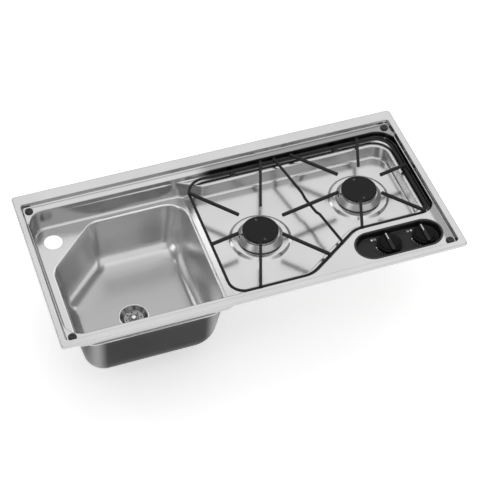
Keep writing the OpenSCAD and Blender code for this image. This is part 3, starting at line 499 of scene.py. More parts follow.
def surface(tree, shader, tones, tone, wear, bounds, rough, height, depth, plain):
    """Colour between two tones, gloss that follows the wear and a fine relief."""
    colour = add_node(tree, "ShaderNodeMix", {0: tone, 6: tones[0], 7: tones[1]}, data_type="RGBA")
    gloss = add_node(tree, "ShaderNodeMapRange", {"Value": wear, "From Min": bounds[0], "From Max": bounds[1],
                                                  "To Min": rough[0], "To Max": rough[1]})
    bump = add_node(tree, "ShaderNodeBump", {"Height": height, "Distance": RELIEF, "Strength": depth})
    feed(tree, shader, {"Base Color": colour.outputs[2], "Roughness": gloss.outputs[0],
                        "Normal": bump.outputs[0], **plain})


def steel(name, dark, light, rough, scratches, depth=0.06, clouds=(6, 6, 6)):
    """Brushed stainless steel: scratches and clouds drive its colour, gloss and relief."""
    material, tree, shader = shader_tree(name)
    grain = add_node(tree, "ShaderNodeGroup", {"Scratches": scratches, "Clouds": clouds}, node_tree=BRUSHING)
    tone = add_node(tree, "ShaderNodeMapRange", {"Value": grain.outputs["Cloud"], "From Min": 0.3,
                                                 "From Max": 0.7})
    streak = grain.outputs["Streak"]
    surface(tree, shader, (dark, light), tone.outputs[0], streak, (0.25, 0.75), rough, streak, depth,
            {"Metallic": 1.0})
    return material


def moulded(name, dark, light, rough, size=900, depth=0.05, metallic=0.0, specular=0.5):
    """Plastic, rubber, enamel or casting with a fine grain of a given size."""
    material, tree, shader = shader_tree(name)
    place = add_node(tree, "ShaderNodeTexCoord").outputs["Object"]
    fine, broad = (add_node(tree, "ShaderNodeTexNoise", {"Vector": place, "Scale": scale, "Detail": 3.0,
                                                         "Roughness": share}).outputs["Fac"]
                   for scale, share in ((size, 0.6), (24.0, 0.55)))
    surface(tree, shader, (dark, light), broad, broad, (0.3, 0.7), rough, fine, depth,
            {"Metallic": metallic, "Specular IOR Level": specular})
    return material


def grey(value, warm=0.0):
    """A grey, a little warm where asked."""
    return (value * (1 + warm), value, value * (1 - warm), 1.0)


STEEL_TOP = steel("satin_steel", grey(0.55), grey(0.6), (0.17, 0.24), (40, 1400, 40), 0.012)
STEEL_BOWL = steel("drawn_steel", grey(0.7), grey(0.78), (0.19, 0.26), (700, 700, 30), 0.005)
STEEL_DRAIN = steel("drain_steel", grey(0.24), grey(0.32), (0.1, 0.16), (300, 300, 300), 0.004)
# Outside of the bowl: rougher steel painted near black, a painted dark reflection of the space below the bowl
STEEL_OUTSIDE_PAINTED_DARK = steel("outside_steel_painted_dark", grey(0.04), grey(0.055), (0.26, 0.36), (900, 900, 25), 0.02)
# Painted shade and reflection: the top's steel is darkened in the groove beside the pan support
tinted(STEEL_TOP, grey(0.012), painted_groove_shade_mask)
tinted(STEEL_BOWL, grey(0.4), floor_mask)
# Painted highlight on the front corners of the bowl's outside
tinted(STEEL_OUTSIDE_PAINTED_DARK, grey(0.32), painted_corner_highlight_mask)
STEEL_BRIGHT = steel("polished_steel", grey(0.68), grey(0.76), (0.06, 0.12), (300, 300, 300), 0.004)
ZINC = steel("zinc_plate", grey(0.5, 0.01), grey(0.6, 0.02), (0.3, 0.45), (200, 200, 200), 0.02)
CAST_ALUMINIUM = moulded("cast_aluminium", grey(0.5), grey(0.58), (0.26, 0.36), 1400, 0.05, metallic=1.0)
PIPE_ALUMINIUM = steel("pipe_aluminium", grey(0.6), grey(0.68), (0.3, 0.4), (200, 200, 200), 0.02)
BRASS = moulded("brass", (0.6, 0.42, 0.18, 1), (0.68, 0.5, 0.24, 1), (0.25, 0.4), 1200, 0.03, metallic=1.0)
COPPER = moulded("copper", (0.55, 0.27, 0.16, 1), (0.62, 0.32, 0.2, 1), (0.3, 0.45), 900, 0.03, metallic=1.0)
RUBBER = moulded("black_rubber", grey(0.012), grey(0.018), (0.3, 0.4), 1500, 0.06)
FOAM = moulded("seal_foam", grey(0.03), grey(0.05), (0.8, 0.9), 1200, 0.5)
GASKET = moulded("black_gasket", grey(0.008), grey(0.014), (0.5, 0.65), 1200, 0.1)
ENAMEL = moulded("black_enamel", grey(0.011), grey(0.018), (0.42, 0.52), 700, 0.08, specular=0.12)
ROD_ENAMEL = moulded("rod_enamel", grey(0.022), grey(0.032), (0.42, 0.52), 900, 0.06, specular=0.12)
PANEL_WALL = moulded("panel_gloss", grey(0.006), grey(0.009), (0.1, 0.16), 300, 0.01)
PANEL_FLOOR = moulded("panel_satin", grey(0.02), grey(0.026), (0.45, 0.55), 1800, 0.06, specular=0.2)
KNOB = moulded("knob_black", grey(0.0015), grey(0.003), (0.16, 0.22), 1500, 0.02, specular=0.09)
KNOB_GRIP = moulded("knob_grip", grey(0.013), grey(0.018), (0.3, 0.38), 1500, 0.03, specular=0.22)
PORT_DARK = moulded("port_shadow", grey(0.02), grey(0.035), (0.6, 0.7), 900, 0.1)
PROBE = moulded("probe_light", grey(0.7), grey(0.8), (0.25, 0.35), 900, 0.03)
# Lighter grey for the ring round each dimple of the burner caps
LIGHTER_DIMPLE_RIM = moulded("lighter_dimple_rim", grey(0.22), grey(0.3), (0.4, 0.5), 900, 0.05)
WHITE = moulded("white_mark", grey(0.85), grey(0.92), (0.4, 0.5), 900, 0.02)
WASTE_PLASTIC = moulded("white_plastic", grey(0.72), grey(0.78), (0.35, 0.45), 600, 0.03)


# The pressed top
RAMP_LINE = softened([(RAMP_X[0] - 10, SINK_D), (RAMP_X[0], SINK_D), (RAMP_X[1], PAN_D),
                      (RAMP_X[1] + 10, PAN_D)], (4, 4), 6)


def ramp_depth(x):
    """Depth of the floor, which steps up from the sink ledge to the hob pan."""
    if x <= RAMP_LINE[0].x:
        return SINK_D
    for a, b in zip(RAMP_LINE, RAMP_LINE[1:]):
        if a.x <= x <= b.x and b.x > a.x:
            return a.y + (b.y - a.y) * (x - a.x) / (b.x - a.x)
    return PAN_D


def ramp_stations():
    """Places along the step where the floor needs an edge."""
    return [point.x + RAMP_LEAN for point in RAMP_LINE[1:-1]]


DISH_RUN = WALL_SLOPE * (LEDGE_D - RECESS_D)


def floor_outlines():
    """Matched stations of the dish and of the deep wall below it."""
    sink = inset_edges(DISH, [DISH_RUN] * 6)
    pan = inset_edges(DISH, PAN_INSET)
    deep = [sink[0], Vector((BEND_X[0], sink[0].y)), Vector((BEND_X[1], pan[0].y)), pan[1], pan[2], pan[3],
            pan[4], Vector((BEND_X[1], pan[4].y)), Vector((BEND_X[0], sink[5].y)), sink[5]]
    radii = [DISH_RADII[0] - DISH_RUN, BEND_RADII[0], BEND_RADII[0], 44, 60, 20, 36, BEND_RADII[1],
             BEND_RADII[1], DISH_RADII[5] - DISH_RUN]
    plain = rounded(deep, radii)
    per = CORNER_STEPS + 1
    splits = []
    for i in range(len(deep)):
        start, stop = plain[i * per + per - 1][0], plain[(i * per + per) % len(plain)][0]
        if i in (1, 7):
            shares = sorted((x - start.x) / (stop.x - start.x) for x in ramp_stations())
            splits.append([share for share in shares if 0.02 < share < 0.98])
        else:
            count = int((stop - start).length // 30)
            splits.append([(k + 1) / (count + 1) for k in range(count)])
    deep_stations = rounded(deep, radii, splits)
    dish10 = [DISH[0], Vector((BEND_X[0], DISH[0].y)), Vector((BEND_X[1], DISH[0].y)), DISH[1], DISH[2],
              DISH[3], DISH[4], Vector((BEND_X[1], DISH[5].y)), Vector((BEND_X[0], DISH[5].y)), DISH[5]]
    radii10 = [DISH_RADII[0], 1, 1, *DISH_RADII[1:5], 1, 1, DISH_RADII[5]]
    dish_stations = rounded(dish10, radii10, splits)
    for k, (deep_place, _) in enumerate(deep_stations):
        place, inward = dish_stations[k]
        if BEND_X[0] - 30 < deep_place.x < BEND_X[1] + 30 and abs(inward.x) < 0.01:
            dish_stations[k] = (Vector((deep_place.x, place.y)), inward)
    return dish_stations, deep_stations


def wall_section(dish, deep):
    """Places down one section of the wall: recess, dish wall, ledge, deep wall, floor."""
    (dish_place, dish_in), (deep_place, deep_in) = dish, deep
    floor = ramp_depth(deep_place.x - RAMP_LEAN) if deep_place.x < BEND_X[1] else PAN_D
    room = max(0.0, ((deep_place - dish_place).length - DISH_RUN) / 2)
    bend = math.tan(math.radians(42))
    far = 60.0
    upper = softened([(-far, RECESS_D), (0, RECESS_D), (DISH_RUN, LEDGE_D), (far, LEDGE_D)],
                     (3.0, min(3.5, room / bend)))[1:-1]
    run = WALL_SLOPE * (floor - LEDGE_D)
    lower = softened([(-far, LEDGE_D), (0, LEDGE_D), (run, floor), (far, floor)],
                     (min(3.0, room / bend), 6.0))[1:-1]
    places = [spot(*(dish_place + dish_in * point.x), point.y) for point in upper]
    return places + [spot(*(deep_place + deep_in * point.x), point.y) for point in lower]


def bowl_loop(share, depth, grow=0.0):
    """Loop round the bowl: share 0 is its edge and 1 is its floor; grow moves it outwards."""
    runs = [run * share - grow for run in BOWL_RUNS]
    radii = [radius * (1 - share + share * BOWL_FLOOR_R_SHARE) + grow for radius in BOWL_RADII]
    splits = [[k / 8 for k in range(1, 8)]] * len(BOWL)
    return loop_at(rounded(inset_edges(BOWL, runs), radii, splits), 0, depth)


def circle_loop(centre, radius, depth, count=96):
    """Places round a circle."""
    return [spot(*polar(centre, radius, 360 * k / count), depth) for k in range(count)]


PANEL_R = 35.8
PANEL_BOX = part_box("control_panel")
PANEL_MIDDLE = middle("control_panel")
PANEL_LEFT = PANEL_MIDDLE.x - (PANEL_BOX[1][0] - PANEL_BOX[0][0]) / MM / 2
PANEL_RIGHT = 2 * PANEL_MIDDLE.x - PANEL_LEFT
PANEL_END_R = (PANEL_BOX[1][1] - PANEL_BOX[0][1]) / MM / 2


def pill_loop(radius, depth, steps=24):
    """Places round the long slot of the control panel."""
    places = []
    for centre, start in ((PANEL_RIGHT - PANEL_END_R, -90), (PANEL_LEFT + PANEL_END_R, 90)):
        places += [spot(*polar(Vector((centre, PANEL_MIDDLE.y)), radius, start + 180 * k / steps), depth)
                   for k in range(steps + 1)]
    return places


TURN_DOWN = 1.5
HOLE_ROUND = (0.6, 0.5)


def make_top():
    """The steel sheet, grown from loops: rim, recess, dish and pan walls, floors, burner seats."""
    top = begin("steel_top")
    outline = [Vector((0, 0)), Vector((UNIT_W, 0)), Vector((UNIT_W, UNIT_D)), Vector((0, UNIT_D))]
    edge = rounded(outline, [CORNER_R] * 4)
    rim = softened([(0, RIM_H), (0, 0), (20, 0)], (RIM_R,))[:-1]
    add_loop(top, loop_at(edge, rim[0].x, rim[0].y), 1)
    for point in rim[1:]:
        pull_loop(top, loop_at(edge, point.x, point.y), 2)
    last_rim = 3
    pull_loop(top, loop_at(edge, rim[-1].x + 0.5, 0), last_rim)
    recess = rounded(inset_edges(outline, FLANGE), [RECESS_R] * 4)
    step = softened([(-20, 0), (0, 0), (RECESS_RUN, RECESS_D), (30, RECESS_D)], (1.6, 2.2))[1:-1]
    recess_top, recess_foot = last_rim + 1, last_rim + len(step)
    sweep(top, lambda run, depth: loop_at(recess, run, depth), step, recess_top)
    fill_between(top, last_rim, recess_top)

    dish, deep = floor_outlines()
    sections = [wall_section(a, b) for a, b in zip(dish, deep)]
    first = 100
    add_loop(top, [section[0] for section in sections], first)
    for k in range(1, len(sections[0])):
        pull_loop(top, [section[k] for section in sections], first + k)
    foot = first + len(sections[0]) - 1
    add_loop(top, pill_loop(PANEL_R, RECESS_D), 50)
    fill_between(top, recess_foot, first, 50)
    pull_down(top, 50, TURN_DOWN, 51)

    # Floor: the step between the sink ledge and the pan, then the two flats
    left = spot(ramp_stations()[0] - RAMP_LEAN - 1.7, 0, 0).x
    right = spot(ramp_stations()[-1] - RAMP_LEAN + 1.2, 0, 0).x
    pick_loops(top, [foot], lambda place: left < place.x < right)
    bpy.ops.mesh.bridge_edge_loops()
    add_loop(top, bowl_loop(0, SINK_D, BOWL_ROLL), 60)
    add_loop(top, circle_loop(TAP_HOLE, TAP_HOLE_R + HOLE_ROUND[0], SINK_D), 61)
    fill_flat(top, SINK_D)
    pick_loops(top, [61])
    pull_loop(top, circle_loop(TAP_HOLE, TAP_HOLE_R, SINK_D + HOLE_ROUND[1]), 62)
    rings = softened([(90, PAN_D), (SEAT_RADII[0], PAN_D), (SEAT_RADII[1], SEAT_TOP), (20, SEAT_TOP)],
                     (4, 4))[1:-1] + [(PAN_HOLE_R, SEAT_TOP)]
    for centre in BURNERS.values():
        sweep(top, lambda radius, depth: circle_loop(centre, radius, depth), rings, 200)
    fill_flat(top, PAN_D)
    end(top, up=1)
    apply_modifier(top, "SOLIDIFY", thickness=SHEET * MM, offset=-1)
    smooth(top, 40)
    apply_modifier(top, "WEIGHTED_NORMAL", keep_sharp=True, weight=80)
    dress(top, "unit", STEEL_TOP, "steel_sheet", "worktop")
    return top


def pull_down(piece, number, drop, new_number):
    """Turns the edge of a cut-out down by a small drop."""
    pick_loops(piece, [number])
    mesh, _, station = layers(piece)
    places = {vert[station]: vert.co - Vector((0, 0, drop * MM)) for vert in mesh.verts if vert.select}
    pull_loop(piece, places, new_number)


def fill_flat(piece, depth):
    """Fills all the open flat at one depth from its boundary edges."""
    bpy.ops.mesh.select_all(action="DESELECT")
    mesh = bmesh.from_edit_mesh(piece.data)
    height = spot(0, 0, depth).z
    for edge in mesh.edges:
        if len(edge.link_faces) < 2 and all(abs(vert.co.z - height) < 1e-6 for vert in edge.verts):
            edge.select = True
    bmesh.update_edit_mesh(piece.data)
    bpy.ops.mesh.fill(use_beauty=False)


def make_bowl():
    """The drawn bowl, from its rolled edge down to the seat of the drain."""
    bowl = begin("bowl")
    rings = []
    for k in range(7):
        angle = math.radians(80 * k / 6)
        rings.append((0.0, SINK_D + BOWL_ROLL * (1 - math.cos(angle)), BOWL_ROLL * (1 - math.sin(angle))))
    bends = []
    for k in range(15):
        angle = math.radians(BOWL_LEAN + (80 - BOWL_LEAN) * k / 14)
        bends.append((BOWL_WALL_SHARE + (1 - BOWL_WALL_SHARE) * (1 - math.cos(angle)),
                      BOWL_D - BOWL_FALL - BOWL_FILLET * (math.sin(math.radians(80)) - math.sin(angle)), 0.0))
    wall_top = SINK_D + BOWL_ROLL
    for k in range(1, 5):
        rings.append((bends[0][0] * k / 5, wall_top + (bends[0][1] - wall_top) * k / 5, 0.0))
    rings += bends
    sweep(bowl, bowl_loop, rings)
    floor = bowl_loop(bends[-1][0], BOWL_D)
    centre = spot(*DRAIN, BOWL_D)
    for k in range(1, FLOOR_RINGS + 1):
        t = (k / FLOOR_RINGS) ** 1.6
        places = []
        for place in floor:
            away = (place - centre).normalized()
            seat = centre + away * DRAIN_SEAT_R * MM
            mixed = place.lerp(seat, t)
            mixed.z = spot(0, 0, BOWL_D - BOWL_FALL * (1 - t) ** 6).z
            places.append(mixed)
        pull_loop(bowl, places, 3)
    pull_loop(bowl, [centre + (place - centre).normalized() * DRAIN_HOLE_R * MM for place in floor], 4)
    end(bowl, up=1)
    bowl.data.materials.append(STEEL_BOWL)
    # Outside faces get the steel painted near black as a painted dark reflection
    bowl.data.materials.append(STEEL_OUTSIDE_PAINTED_DARK)
    apply_modifier(bowl, "SOLIDIFY", thickness=SHEET * MM, offset=-1, material_offset=1)
    smooth(bowl, 50)
    dress(bowl, "unit", None, "bowl_steel", "sink_bowl")
    return bowl


# Smaller pieces
def turn(name, centre, profile, steps=72):
    """Turned piece from (radius, depth) points; a line that starts on the axis closes by the turn."""
    piece = begin(name)
    add_loop(piece, [spot(centre.x + radius, centre.y, depth) for radius, depth in profile], 1)
    if profile[0][0] < 0.01:
        mesh, _, station = layers(piece)
        bpy.ops.mesh.select_all(action="DESELECT")
        for edge in mesh.edges:
            if {vert[station] for vert in edge.verts} == {0, len(profile) - 1}:
                edge.select = True
        bmesh.update_edit_mesh(piece.data)
        bpy.ops.mesh.delete(type="EDGE")
    bpy.ops.mesh.select_all(action="SELECT")
    bpy.ops.mesh.spin(steps=steps, angle=2 * math.pi, center=spot(centre.x, centre.y, 0), axis=(0, 0, 1))
    end(piece)
    smooth(piece)
    return piece


def grow(name, loops, up=None):
    """Piece grown from matching loops of places; a loop drawn together to one place closes an end."""
    piece = begin(name)
    add_loop(piece, loops[0], 1)
    for number, places in enumerate(loops[1:], 2):
        pull_loop(piece, places, number)
    end(piece, up)
    return piece


def rod(name, path, radius, closed=False, square=False):
    """Round or square bar along a line of places; an open one gets ends with a small round."""
    loops = []
    section = [(math.cos(math.radians(20 * j)), math.sin(math.radians(20 * j))) for j in range(18)]
    if square:
        section = []
        for right, up in ((1, 1), (-1, 1), (-1, -1), (1, -1)):
            corner = [polar(Vector((0.78, 0.78)), 0.22, 30 * j) for j in range(4)]
            if right != up:
                corner.reverse()
            section += [(right * place.x, up * place.y) for place in corner]
    last = len(path) - 1
    for k, place in enumerate(path):
        before = path[k - 1] if closed or k else place
        after = path[(k + 1) % len(path)] if closed or k < last else place
        along = (after - before).normalized()
        side = along.cross(Vector((0, 0, 1))).normalized()
        over = side.cross(along)
        shapes = [(0, 1)]
        if not closed and k == 0:
            shapes = [(0, 0), (0, 0.7), (0.1, 0.9), (0.3, 1)]
        if not closed and k == last:
            shapes = [(-0.3, 1), (-0.1, 0.9), (0, 0.7), (0, 0)]
        for shift, share in shapes:
            middle_place = place + along * shift * radius * MM
            loops.append([middle_place + (side * across + over * height) * radius * share * MM
                          for across, height in section])
    if closed:
        loops.append(loops[0])
    piece = grow(name, loops)
    smooth(piece, 50)
    return piece


def copied(piece, name, shift):
    """Copy of a piece with a mesh of its own, moved by a plan step."""
    only(piece)
    bpy.ops.object.duplicate(linked=False)
    twin = bpy.context.object
    twin.name = twin.data.name = name
    bpy.ops.object.mode_set(mode="EDIT")
    bpy.ops.mesh.select_all(action="SELECT")
    bpy.ops.transform.translate(value=(shift.x * MM, shift.y * MM, 0))
    bpy.ops.object.mode_set(mode="OBJECT")
    return twin


def second_finish(piece, material, test):
    """Gives the faces that pass a test another finish."""
    piece.data.materials.append(material)
    for face in piece.data.polygons:
        if test(face):
            face.material_index = len(piece.data.materials) - 1


def bevelled(piece, width, segments=2, angle=40):
    """Rounds the sharp edges of a piece."""
    apply_modifier(piece, "BEVEL", width=width * MM, segments=segments, limit_method="ANGLE",
                   angle_limit=math.radians(angle))


# Control panel and knobs
KNOBS = {side: middle("knob_" + side) for side in ("left", "right")}
PANEL_FLOOR_D = 21.5
SPINDLE_HOLE_R = 5.5
FLUTES = 28
FLUTE_R = 1.5
KNOB_R = 26.0
GRIP_HALF = (4.5, 25.0)
SCALE_R = 28.3
SCALE_DOTS = (1.4, 0.8, 0.7, 0.6, 0.5, 0.4)


def make_panel():
    """The sunk panel: lip, glossy wall, satin floor with a hole for each spindle."""
    panel = begin("panel")
    line = [(30.6, 23.0), (31.1, 22.5), (35.6, 9.6), (38.2, 9.5), (38.2, 9.25), (37.8, 8.85), (37.1, 8.7),
            (34.8, 8.7), (34.3, 8.85), (34.0, 9.3), (30.4, 19.6), (30.15, 20.3), (29.7, 21.0), (29.0, 21.4),
            (28.2, PANEL_FLOOR_D)]
    sweep(panel, pill_loop, line)
    for centre in KNOBS.values():
        add_loop(panel, circle_loop(centre, SPINDLE_HOLE_R, PANEL_FLOOR_D, 32), 40)
    fill_between(panel, len(line), 40)
    for centre in KNOBS.values():
        pick_loops(panel, [40], lambda place: abs(place.x - spot(*centre, 0).x) < 20 * MM)
        pull_loop(panel, circle_loop(centre, SPINDLE_HOLE_R, 23.0, 32), 41)
    fill_between(panel, 1, 41)
    end(panel)
    smooth(panel, 40)
    low, high = spot(0, 0, 21.7).z, spot(0, 0, 21.2).z
    dress(panel, "unit", PANEL_WALL, "black_panel", "control_panel")
    second_finish(panel, PANEL_FLOOR, lambda face: face.normal.z > 0.9 and low < face.center.z < high)


def make_marks():
    """Printed marks on the panel floor: which burner a knob serves and its flame scale."""
    marks = begin("panel_marks")
    depth = PANEL_FLOOR_D - 0.08
    for side, filled_at, hollow_at in (("left", (-30.0, 23.5), (-23.1, 23.6)),
                                       ("right", (-20.3, 23.9), (-27.9, 23.4))):
        centre = KNOBS[side]
        for number, (place, half) in enumerate(((filled_at, 2.2), (hollow_at, 2.2), (hollow_at, 1.4)), 1):
            square = [Vector((place[0] + half * u, place[1] + half * v)) for u, v in
                      ((-1, -1), (1, -1), (1, 1), (-1, 1))]
            add_loop(marks, [spot(*(centre + corner), depth) for corner in square],
                     number if number == 1 else 2)
            if number == 1:
                bpy.ops.mesh.edge_face_add()
        pick_loops(marks, [2], lambda place: abs(place.x - spot(*centre, 0).x) < 38 * MM)
        bpy.ops.mesh.fill(use_beauty=False)
        for k in range(len(SCALE_DOTS)):
            dot = polar(centre, SCALE_R, 178 + 12.5 * k)
            add_loop(marks, circle_loop(dot, SCALE_DOTS[k], depth, 16), 3)
            bpy.ops.mesh.edge_face_add()
    end(marks, up=1)
    apply_modifier(marks, "SOLIDIFY", thickness=0.12 * MM, offset=-1)
    dress(marks, "unit", WHITE, "white_mark")


def slab_outline(centre, left, front, right, rear, radius, steps):
    """Rounded rectangle beside a centre."""
    corners = ((left, front), (right, front), (right, rear), (left, rear))
    return rounded([centre + Vector(corner) for corner in corners], [radius] * 4, steps=steps)


def flute_radius(angle):
    """Radius of the fluted skirt at an angle from a flute's middle."""
    ring = KNOB_R + FLUTE_R / 2
    reach = FLUTE_R ** 2 - (ring * math.sin(angle)) ** 2
    return min(KNOB_R, ring * math.cos(angle) - math.sqrt(reach)) if reach > 0 else KNOB_R


def knob_loop(centre, radius, depth, fluted):
    """Loop of the knob, plain or following the flutes."""
    places = []
    for k in range(FLUTES):
        for part in (-3.1, -2.3, -1.2, 0, 1.2, 2.3, 3.1, 180 / FLUTES):
            reach = radius - (KNOB_R - flute_radius(math.radians(part)) if fluted else 0)
            places.append(spot(*polar(centre, reach, 360 * k / FLUTES + part), depth))
    return places


def make_knob(centre):
    """Knob with a fluted skirt, a round body and a grip bar across it."""
    line = [(0, 13.0, 0), (4.0, 13.0, 0), (4.0, 18.1, 0), (7.0, 18.1, 0), (7.0, 14.9, 0), (18.6, 14.9, 0),
            (19.0, 18.1, 0), (25.0, 18.1, 0), (25.7, 18.0, 1), (26.0, 17.7, 1), (26.0, 14.8, 1),
            (25.85, 14.35, 1), (25.3, 14.12, 1), (23.6, 14.1, 0), (22.2, 14.05, 0), (21.6, 13.8, 0),
            (21.25, 13.2, 0), (20.7, 12.5, 0), (20.35, 12.1, 0), (19.7, 11.9, 0), (12.0, 12.2, 0),
            (0, 12.3, 0)]
    body = grow("knob", [knob_loop(centre, *point) for point in line])
    smooth(body, 35)
    bar = begin("grip")
    outline = slab_outline(centre, -GRIP_HALF[0], -GRIP_HALF[1], *GRIP_HALF, 3.4, 6)
    line = [(-0.3, 14.4), (0, 13.2), (0.25, 10.0), (0.45, 9.5), (0.8, 9.15), (1.3, 9.03), (1.8, 9.0)]
    sweep(bar, lambda run, depth: loop_at(outline, run, depth), line)
    bpy.ops.mesh.edge_face_add()
    end(bar)
    smooth(bar, 30)
    top = spot(0, 0, 9.1).z
    bar.data.materials.append(KNOB)
    second_finish(bar, KNOB_GRIP, lambda face: face.center.z > top)
    body.data.materials.append(KNOB)
    return join([body, bar], "knob")


def make_pointer(centre):
    """White line on the rear half of the grip."""
    outline = slab_outline(centre, -0.9, 6, 0.9, 23, 0.5, 4)
    pointer = begin("pointer")
    for number, point in enumerate(((0, 9.6), (0, 9.02), (0.1, 8.97)), 1):
        if number == 1:
            add_loop(pointer, loop_at(outline, *point), number)
            bpy.ops.mesh.edge_face_add()
            pick_loops(pointer, [1])
        else:
            pull_loop(pointer, loop_at(outline, *point), number)
    bpy.ops.mesh.edge_face_add()
    end(pointer)
    return pointer


def make_knobs():
    """Both knobs from one model, with their pointers."""
    knob, pointer = make_knob(KNOBS["left"]), make_pointer(KNOBS["left"])
    shift = KNOBS["right"] - KNOBS["left"]
    twins = copied(knob, "knob_right", shift), copied(pointer, "mark_right", shift)
    for side, (first, second) in (("left", (knob, pointer)), ("right", twins)):
        first.name = first.data.name = "turn_knob_" + side
        second.name = second.data.name = "turn_mark_" + side
        dress(first, "knob_" + side, None, "black_knob", "knob_" + side)
        dress(second, "knob_" + side, WHITE, "white_mark", "knob_pointer_" + side)


# Burners
PORTS = 24
PORT_HALF = 1.42
PORT_DEPTH = 4.2
CAP_DOT_R = 28.4
PROBE_OFF = 41.2


def probe_place(centre):
    """Plan place of a burner's thermocouple."""
    return polar(centre, PROBE_OFF, 173)


def port_loop(centre, radius, depth):
    """Circle with two stations at the sides of each port."""
    return [spot(*polar(centre, radius, 360 * k / PORTS + part), depth)
            for k in range(PORTS) for part in (-PORT_HALF, PORT_HALF, 4.5, 7.5, 10.5)]


def make_spreader(centre):
    """Cast flame spreader: crown with a port in every fifteenth degree, sloping shoulder, neck."""
    outer = softened([(31.5, 29.0), (36.5, 29.0), (36.5, 32.2)], (0.5,), 3)[:-1]
    slope = softened([(36.5, 32.2), (36.6, 33.4), (40.0, 33.4), (48.0, 42.5), (49.0, 43.5), (49.0, 45.8),
                      (45.0, 45.8)], (0.8, 1.6, 1.0, 0.8, 0.3), 4)
    line = [*outer, *slope, Vector((45, 43.4)), Vector((36.5, 38.4)), Vector((20, 38.4)), Vector((20, 62)),
            Vector((18.5, 62)), Vector((18.5, 36)), Vector((31.5, 33.4)), Vector((31.5, 29))]
    piece = begin("spreader")
    sweep(piece, lambda radius, depth: port_loop(centre, radius, depth), line)
    bpy.ops.mesh.select_all(action="DESELECT")
    bpy.ops.mesh.select_mode(type="FACE")
    mesh, _, station = layers(piece)
    top, foot = spot(0, 0, 29.2).z, spot(0, 0, 32.3).z
    heart = spot(*centre, 0)
    for face in mesh.faces:
        place = face.calc_center_median()
        if ({vert[station] % 5 for vert in face.verts} == {0, 1} and foot < place.z < top
                and away_from(heart, place) > 36):
            face.select = True
    bmesh.update_edit_mesh(piece.data)
    bpy.ops.mesh.normals_make_consistent(inside=False)
    bpy.ops.mesh.extrude_faces_move(TRANSFORM_OT_shrink_fatten={"value": -PORT_DEPTH * MM})
    bpy.ops.mesh.select_mode(type="EDGE")
    end(piece)
    drill = turn("drill", probe_place(centre), [(0, 28), (4.5, 28), (4.5, 50), (0, 50)], 32)
    apply_modifier(piece, "BOOLEAN", object=drill, operation="DIFFERENCE", solver="EXACT")
    bpy.data.objects.remove(drill)
    smooth(piece, 35)
    piece.data.materials.clear()
    piece.data.materials.append(CAST_ALUMINIUM)
    second_finish(piece, PORT_DARK, lambda face: foot < face.center.z < top
                  and 32 < away_from(heart, face.center) < 36.3)
    return piece


def make_cap(centre):
    """Enamelled cap with two shallow dimples."""
    line = [(0, 29.0), (28.8, 29.0), (28.8, 31.6), (29.2, 32.0), (30.9, 32.0), (31.3, 31.6), (31.3, 29.0),
            (37.3, 29.0), (37.9, 28.75), (38.25, 28.2), (38.3, 27.6), (38.3, 26.0), (38.1, 25.3),
            (37.6, 24.85), (36.8, 24.62), (35.5, 24.6)]
    cap = begin("cap")
    sweep(cap, lambda radius, depth: circle_loop(centre, radius, depth), line)
    dots = [centre + Vector((0, side * CAP_DOT_R)) for side in (-1, 1)]
    for number, dot in enumerate(dots):
        add_loop(cap, circle_loop(dot, 2.2, 24.6, 24), 50)
    fill_between(cap, len(line), 50)
    for dot in dots:
        pick_loops(cap, [50], lambda place: abs(place.y - spot(*dot, 0).y) < 5 * MM)
        for radius, depth in ((2.0, 24.63), (1.6, 24.75), (1.3, 25.2), (0, 25.3)):
            pull_loop(cap, circle_loop(dot, radius, depth, 24), 51)
    end(cap)
    smooth(cap, 30)
    cap.data.materials.append(ENAMEL)
    places = [spot(*dot, 24.6) for dot in dots]
    # The ring round each dimple is given a lighter grey
    second_finish(cap, LIGHTER_DIMPLE_RIM, lambda face: any(1.55 * MM < (face.center - place).length < 2.3 * MM
                                                   and face.normal.z > 0.3 for place in places)
                  and face.area < 2 * MM * MM)
    return cap


def make_thermocouple(centre):
    """Probe with its collar and the hexagon nut under the pan."""
    place = probe_place(centre)
    probe = turn("probe", place, [(0, 35.0), (1.0, 35.05), (1.5, 35.5), (1.7, 36.3), (1.7, 41.8), (2.6, 42.0),
                                  (3.0, 42.4), (3.0, 47.9), (1.7, 48.0), (1.7, 62.0), (0, 62.0)], 28)
    nut = turn("nut", place, [(1.7, 49.1), (4.5, 49.1), (5.0, 49.5), (5.0, 52.6), (4.5, 53.0), (1.7, 53.0)],
               steps=6)
    smooth(nut, 20)
    return join([probe, nut], "thermocouple")


def make_burners():
    """The left burner is modelled and the right one copied from it."""
    home = BURNERS["left"]
    shift = BURNERS["right"] - home
    spreader, cap, pin = make_spreader(home), make_cap(home), make_thermocouple(home)
    ring = turn("gasket", home, [(45.0, 45.8), (48.3, 45.8), (48.6, 46.1), (48.6, 48.0), (45.0, 48.0)])
    for side in ("left", "right"):
        parts = [("flame_spreader_", spreader, "spreader_" + side, None, "cast_aluminium"),
                 ("burner_cap_", cap, "cap_" + side, None, "black_enamel"),
                 ("thermocouple_", pin, "unit", PROBE, "bright_steel"),
                 ("burner_gasket_", ring, "unit", GASKET, "black_gasket")]
        for node, source, body, material, slot in parts:
            piece = source if side == "left" else copied(source, "copy", shift)
            piece.name = piece.data.name = "gas_" + node + side
            dress(piece, body, material, slot, node + side)


# Pan support
ROD_R = 3.0
RING_D = 15.0
FINGER_D = 9.0
RING = inset_edges(DISH, [5.5, 5.5, 5.5, 14, 13, 343])
RING_LINE = rounded(RING, [40 * share for share in (0.85, 1.5, 1.12, 0.65, 1.1, 1.05)], steps=14)
FINGER_TIP_R = 52.5
FINGER_PAST = 4.1


